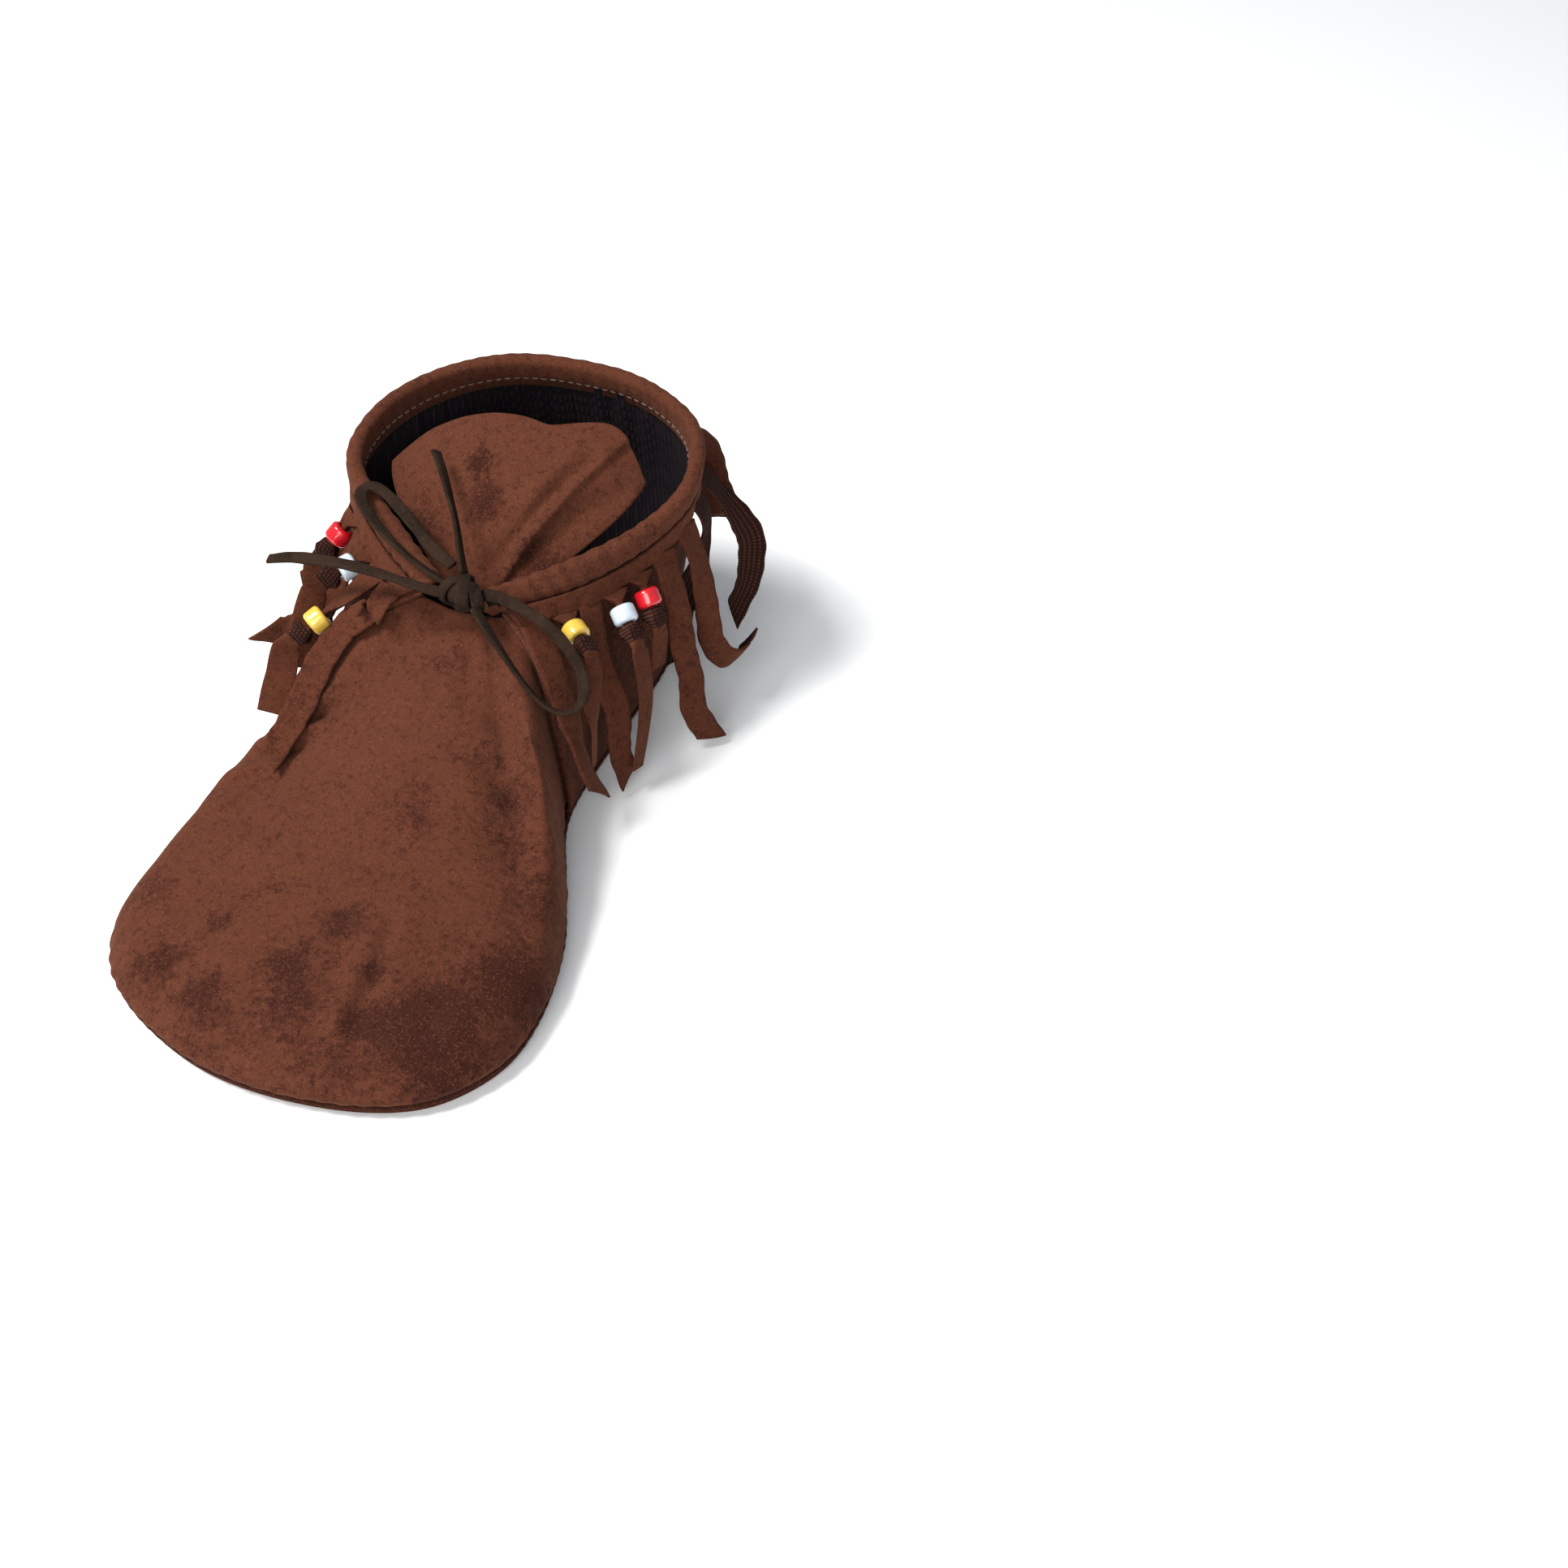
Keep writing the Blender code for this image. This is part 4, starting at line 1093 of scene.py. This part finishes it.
def strand_shape(number):
    share = strand_share(number)
    front = max(0.0, 1 - min(share, 1 - share) / 0.16)
    usual = (50 + 14 * front + 4 * math.sin(2.4 * number), 0.22, -0.25 * math.sin(2 * math.pi * share))
    length, slope, lean = STRAYS.get(number, usual)
    return length * MM, slope, lean


def strand_width(number):
    wider = WIDER_BY if number in WIDER_STRANDS else 0.0
    return STRAND_WIDTH + wider + STRAND_WIDTH_VARIES * math.sin(1.7 * number)


def hanging_route(number):
    """Centre line of a strand that falls from its root and lies on the upper where it meets it."""
    share = strand_share(number)
    down, out, about = (f(share, ROOT_DROP) for f in (WALL.down, WALL.out, WALL.round))
    here = WALL.at(share, ROOT_DROP) + out * (2 * GAP + TRIM / 2)
    length, slope, lean = strand_shape(number)
    step = length / STRAND_STEPS
    straight = 0
    if number in BEADED:
        neck_start = BEADED[number][1] * MM
        straight = math.ceil((neck_start + NECK_LENGTH + 3 * MM) / step)
        slope = (BEAD_RADIUS + BEAD_CLEAR) / (neck_start + BEAD_LENGTH / 2)
    way = unit(down + out * slope + about * lean)
    route = [here]
    for i in range(STRAND_STEPS):
        if i >= straight:
            way = unit(way + np.array((0, 0, -0.18)))
            here = clear_of(here + way * step, (1.8 + 0.2 * i) * MM)
        else:
            here = here + way * step
        way = unit(here - route[-1])
        route.append(here)
    return np.array(route)


def strand_frames(number, count):
    """A strand's fine centre line, and its across and facing directions."""
    coarse = hanging_route(number)
    fine = evenly(curve_through(coarse, 16), count)
    run = unit(np.gradient(fine, axis=0))
    root_across = WALL.round(strand_share(number), ROOT_DROP)
    acrosses = []
    for i in range(len(coarse)):
        _, normal = nearest(coarse[i])
        ahead = coarse[min(i + 1, len(coarse) - 1)] - coarse[max(i - 1, 0)]
        acrosses.append(root_across if i == 0 else unit(np.cross(normal, ahead)))
    across = unit(line_point(np.array(acrosses), np.linspace(0, 1, count)))
    facing = unit(np.cross(across, run))
    across = np.cross(run, facing)
    return fine, across, facing


def strip_of(across, along):
    """Each point's place on the flat strip: across it and along it."""
    return np.stack(np.broadcast_arrays(across[None, :], along[:, None], 0.0), -1)


def make_band():
    """The uncut top of the fringe, sewn on under the hem."""
    shares = np.linspace(*HEM_ENDS, 401)[None, :]
    drops = np.linspace(BAND_TOP + BAND_HEIGHT + 1.5 * MM, BAND_TOP - 0.6 * MM, 9)[:, None]
    shares, drops = np.broadcast_arrays(shares, drops)
    ripple = 0.35 * MM * np.sin(shares * 210) * smooth_step(BAND_TOP, BAND_TOP + BAND_HEIGHT, drops)
    points = WALL.at(shares, drops) + WALL.out(shares, drops) * (2 * GAP + TRIM + ripple)[..., None]
    obj = panel("fringe_heading", points, TRIM_FACES, 1.0 * MM)
    place(obj, "suede", "fringe_band")


# How single strands hang: twist along them in turns, slant of the cut end in millimetres, whether the ribbed
# back faces out, and bends: share of the length, and the turn there outwards and sideways in degrees.
STRAND_LOOKS = {
    1: (0.04, 7.0, False, [(0.30, 0, 6), (0.62, 8, -14), (0.86, 10, 24)]),
    3: (0.09, -3.0, False, [(0.35, 8, 10), (0.62, -8, -22), (0.84, 10, 20)]),
    6: (0.14, 3.0, False, [(0.28, 6, -14), (0.50, -6, 26), (0.66, 0, -30), (0.80, 16, 34)]),
    7: (0.16, 2.0, False, [(0.22, 0, -12), (0.60, 12, 36), (0.76, 8, 48), (0.90, -8, 30)]),
    8: (0.20, -4.0, True, [(0.12, -30, -8), (0.55, -4, 6), (0.90, -20, 8)]),
    9: (0.20, 4.0, True, [(0.20, 6, -6), (0.55, -26, -16), (0.80, -20, -16)]),
    10: (0.30, 3.0, False, [(0.40, 10, 20), (0.75, 16, 30)]),
    11: (0.30, 2.0, False, [(0.45, -16, -12), (0.75, 10, -20)]),
    25: (-0.24, 5.0, False, [(0.10, 0, 5), (0.27, 8, 4), (0.50, 10, -5), (0.70, 40, 0), (0.88, 36, 20)]),
    28: (-0.03, 6.0, False, [(0.25, 0, 6), (0.50, -4, 16), (0.82, 6, -8)]),
    23: (-0.26, 2.0, False, [(0.40, 22, 16), (0.75, 40, 10)]),
    22: (-0.20, 2.0, True, [(0.50, 14, -18), (0.80, 26, 12)]),
}  # fmt: skip


def usual_look(number):
    """A strand's twist, slant, face and bends where it isn't one of the named ones."""
    a, b, c = (math.sin(k * number) for k in (3.1, 1.9, 2.7))
    bends = [(0.28, 5 * a, 10 * b), (0.55, 6 * c, -16 * b), (0.80, 10 + 10 * a, 14 * c)]
    to_front = 0.12 if number < STRANDS / 2 else -0.12
    return to_front + 0.06 * a, 3.0 * c, number % 5 == 0, bends


def bent(line, across, outward, bends):
    """The line turned outwards and sideways at each bend, but kept off the upper and the floor."""
    count = len(line)
    share = np.linspace(0, 1, count)
    run = unit(np.gradient(line, axis=0))
    lift, swing = np.zeros(count), np.zeros(count)
    for at, out_by, side_by in bends:
        step = smooth_step(at - 0.09, at + 0.09, share)
        lift += math.radians(out_by) * step
        swing += math.radians(side_by) * step
    way = turned(turned(run, outward, lift)[0], across, swing)[0]
    stride = lengths_along(line)[-1] / (count - 1)
    made = [line[0]]
    for i in range(1, count):
        made.append(clear_of(made[-1] + unit(way[i]) * stride, (1.1 + 1.6 * share[i]) * MM))
    made = np.array(made)
    run = unit(np.gradient(made, axis=0))
    side = turned(run, across, swing)[1]
    side = unit(side - run * np.sum(side * run, axis=1, keepdims=True))
    return made, run, side


def make_plain_strand(number):
    count, columns = 80, 9
    fine, across, inward = strand_frames(number, count)
    twist, slant, reverse_out, bends = STRAND_LOOKS.get(number) or usual_look(number)
    line, run, across = bent(fine, across, -inward, bends)
    outward = np.cross(run, across)
    length = lengths_along(line)[-1]
    share = np.linspace(0, 1, count)
    turn = 2 * math.pi * twist * smooth_step(0.06, 0.65, share)
    across, outward = turned(across, outward, turn)
    half = strand_width(number) / 2 * (1 - 0.08 * share + 0.05 * np.sin(9 * share + number))
    edge = np.linspace(-1, 1, columns)
    longer = np.vstack([line, line[-1] + run[-1] * 8 * MM])
    cup = 0.9 * MM * math.sin(1.3 * number) * smooth_step(0.1, 0.5, share)
    rows = []
    for a in edge:
        centre = at_distance(longer, share * (length + slant * MM * a * share**4))
        rough = 0.16 * MM * np.sin(share * 57 + 9 * a + number) * (abs(a) == 1)
        rows.append(centre + across * (a * half + rough)[:, None] + outward * (cup * (1 - a**2))[:, None])
    grid = np.array(rows[::-1]).transpose(1, 0, 2)
    strip = strip_of(edge[::-1] * strand_width(number) / 2, share * length)
    brushed = np.full(grid.shape[:2], 0.25 + 0.3 * math.sin(2.3 * number))
    faces = TRIM_FACES
    name = f"fringe_{number:02d}"
    strand = panel(name, grid, faces[::-1] if reverse_out else faces, 0.9 * MM, brushed, strip, offset=0.0)
    return strand, fine


def make_beaded_strand(number):
    """A strand rolled up to pass its bead, with a knot under it."""
    count, sides = 110, 20
    fine, across, facing = strand_frames(number, count)
    length = lengths_along(fine)[-1]
    half, flat = strand_width(number) / 2, 0.5 * MM
    colour, neck_start = BEADED[number]
    neck_start *= MM
    neck_end = neck_start + NECK_LENGTH
    middle = at_distance(fine, neck_end - GAP - BEAD_LENGTH / 2)
    bead_way = unit(at_distance(fine, 0.4 * length / STRAND_STEPS) - fine[0])
    knot_share = (neck_end + 6 * MM) / length
    sideways = 16 * math.sin(5.1 * number)
    bends = [(knot_share + 0.06, -26, sideways), (lerp(knot_share, 1, 0.5), 8, -1.6 * sideways)]
    free_from = int(count * neck_end / length)
    tail, run, side = bent(fine[free_from:], across[free_from:], -facing[free_from:], [
        ((at - free_from / count) / (1 - free_from / count), out_by, side_by) for at, out_by, side_by in bends
    ])  # fmt: skip
    fine = np.vstack([fine[:free_from], tail])
    across = np.vstack([across[:free_from], side])
    run = unit(np.gradient(fine, axis=0))
    facing = np.cross(across, run)
    sections = np.array([
        (0.0, half, flat), (max(neck_start - 6 * MM, 1.0 * MM), half, flat),
        (neck_start - 0.4 * MM, 1.9 * MM, 1.5 * MM),
        (neck_start, NECK_RADIUS, NECK_RADIUS), (neck_end, NECK_RADIUS, NECK_RADIUS),
        (neck_end + 0.7 * MM, 3.3 * MM, 3.0 * MM), (neck_end + 3.4 * MM, 4.3 * MM, 3.5 * MM),
        (neck_end + 6.0 * MM, 3.0 * MM, 2.4 * MM), (neck_end + 8.5 * MM, 0.6 * half, 1.0 * MM),
        (neck_end + 11.0 * MM, 0.85 * half, flat), (length, 0.9 * half, flat),
    ])  # fmt: skip
    distance = np.linspace(0, length, count)
    wide = np.interp(distance, sections[:, 0], sections[:, 1])
    thick = np.interp(distance, sections[:, 0], sections[:, 2])
    to_front = 0.0 if number < STRANDS / 2 else 0.27
    turn = 2 * math.pi * to_front * smooth_step(neck_start - 3 * MM, neck_end + 10 * MM, distance)
    across, facing = turned(across, facing, turn)
    angles = -2 * math.pi * (np.arange(sides) + 0.5) / sides
    c, s = squared(sides, 0.6)
    s = -s
    knotted = np.exp(-(((distance - neck_end - 3.4 * MM) / (2.6 * MM)) ** 2))
    swirl = np.sin(3 * angles[None, :] + distance[:, None] / (1.1 * MM)) * knotted[:, None] * 0.5 * MM
    rings = around(fine, across, facing, c * (wide[:, None] + swirl), s * (thick[:, None] + swirl))
    strip = strip_of(c * half, distance)
    obj = skin(f"fringe_{number:02d}", rings, TRIM_FACES, None, strip)
    back = knotted > 0.25
    for polygon in obj.data.polygons:
        row = polygon.vertices[0] // sides
        under = s[polygon.vertices[0] % sides] > 0
        polygon.material_index = 1 if back[min(row, count - 1)] or under else 0
    make_bead(colour, number, middle, bead_way)
    return obj, fine


def make_bead(colour, number, middle, way):
    side = "inner" if number < STRANDS / 2 else "outer"
    half, round_off = BEAD_LENGTH / 2, 1.5 * MM
    corner = [(math.cos(a) - 1, math.sin(a) - 1) for a in np.linspace(0, math.pi / 2, 7)]
    profile = [(BEAD_RADIUS + round_off * x, half + round_off * z) for x, z in corner]
    profile += [(BEAD_HOLE + 0.35 * MM, half), (BEAD_HOLE, half - 0.4 * MM)]
    profile += [(x, -z) for x, z in reversed(profile)]
    first = np.cross(way, (0.3, 0.2, 1.0))
    rings = np.array([ring_round(middle + way * z, way, first, x, x, 40) for x, z in profile])
    obj = ring_loop(f"pony_bead_{colour}_{side}", rings[::-1], [colour])
    node = f"bead_{colour}_{side}"
    place(obj, f"{colour}_bead", node, body=node)


def make_fringe():
    for number in range(1, STRANDS + 1):
        beaded = number in BEADED
        obj, fine = (make_beaded_strand if beaded else make_plain_strand)(number)
        node = f"fringe_strand_{number:02d}"
        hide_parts(node)
        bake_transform(obj)


# ---- Everything -------------------------------------------------------------------------------------
bpy.context.scene.view_settings.view_transform = "Standard"
add_camera()
FINISHES = make_finishes()
make_laces()
make_knot()
add_light()
add_floor()
for make in (
    make_vamp, make_quarters, make_sole, make_sole_seam, make_hem, make_hem_stitches, make_allowance,
    make_drawstring, make_back_seam, make_tongue, make_band, make_fringe,
):  # fmt: skip
    make()
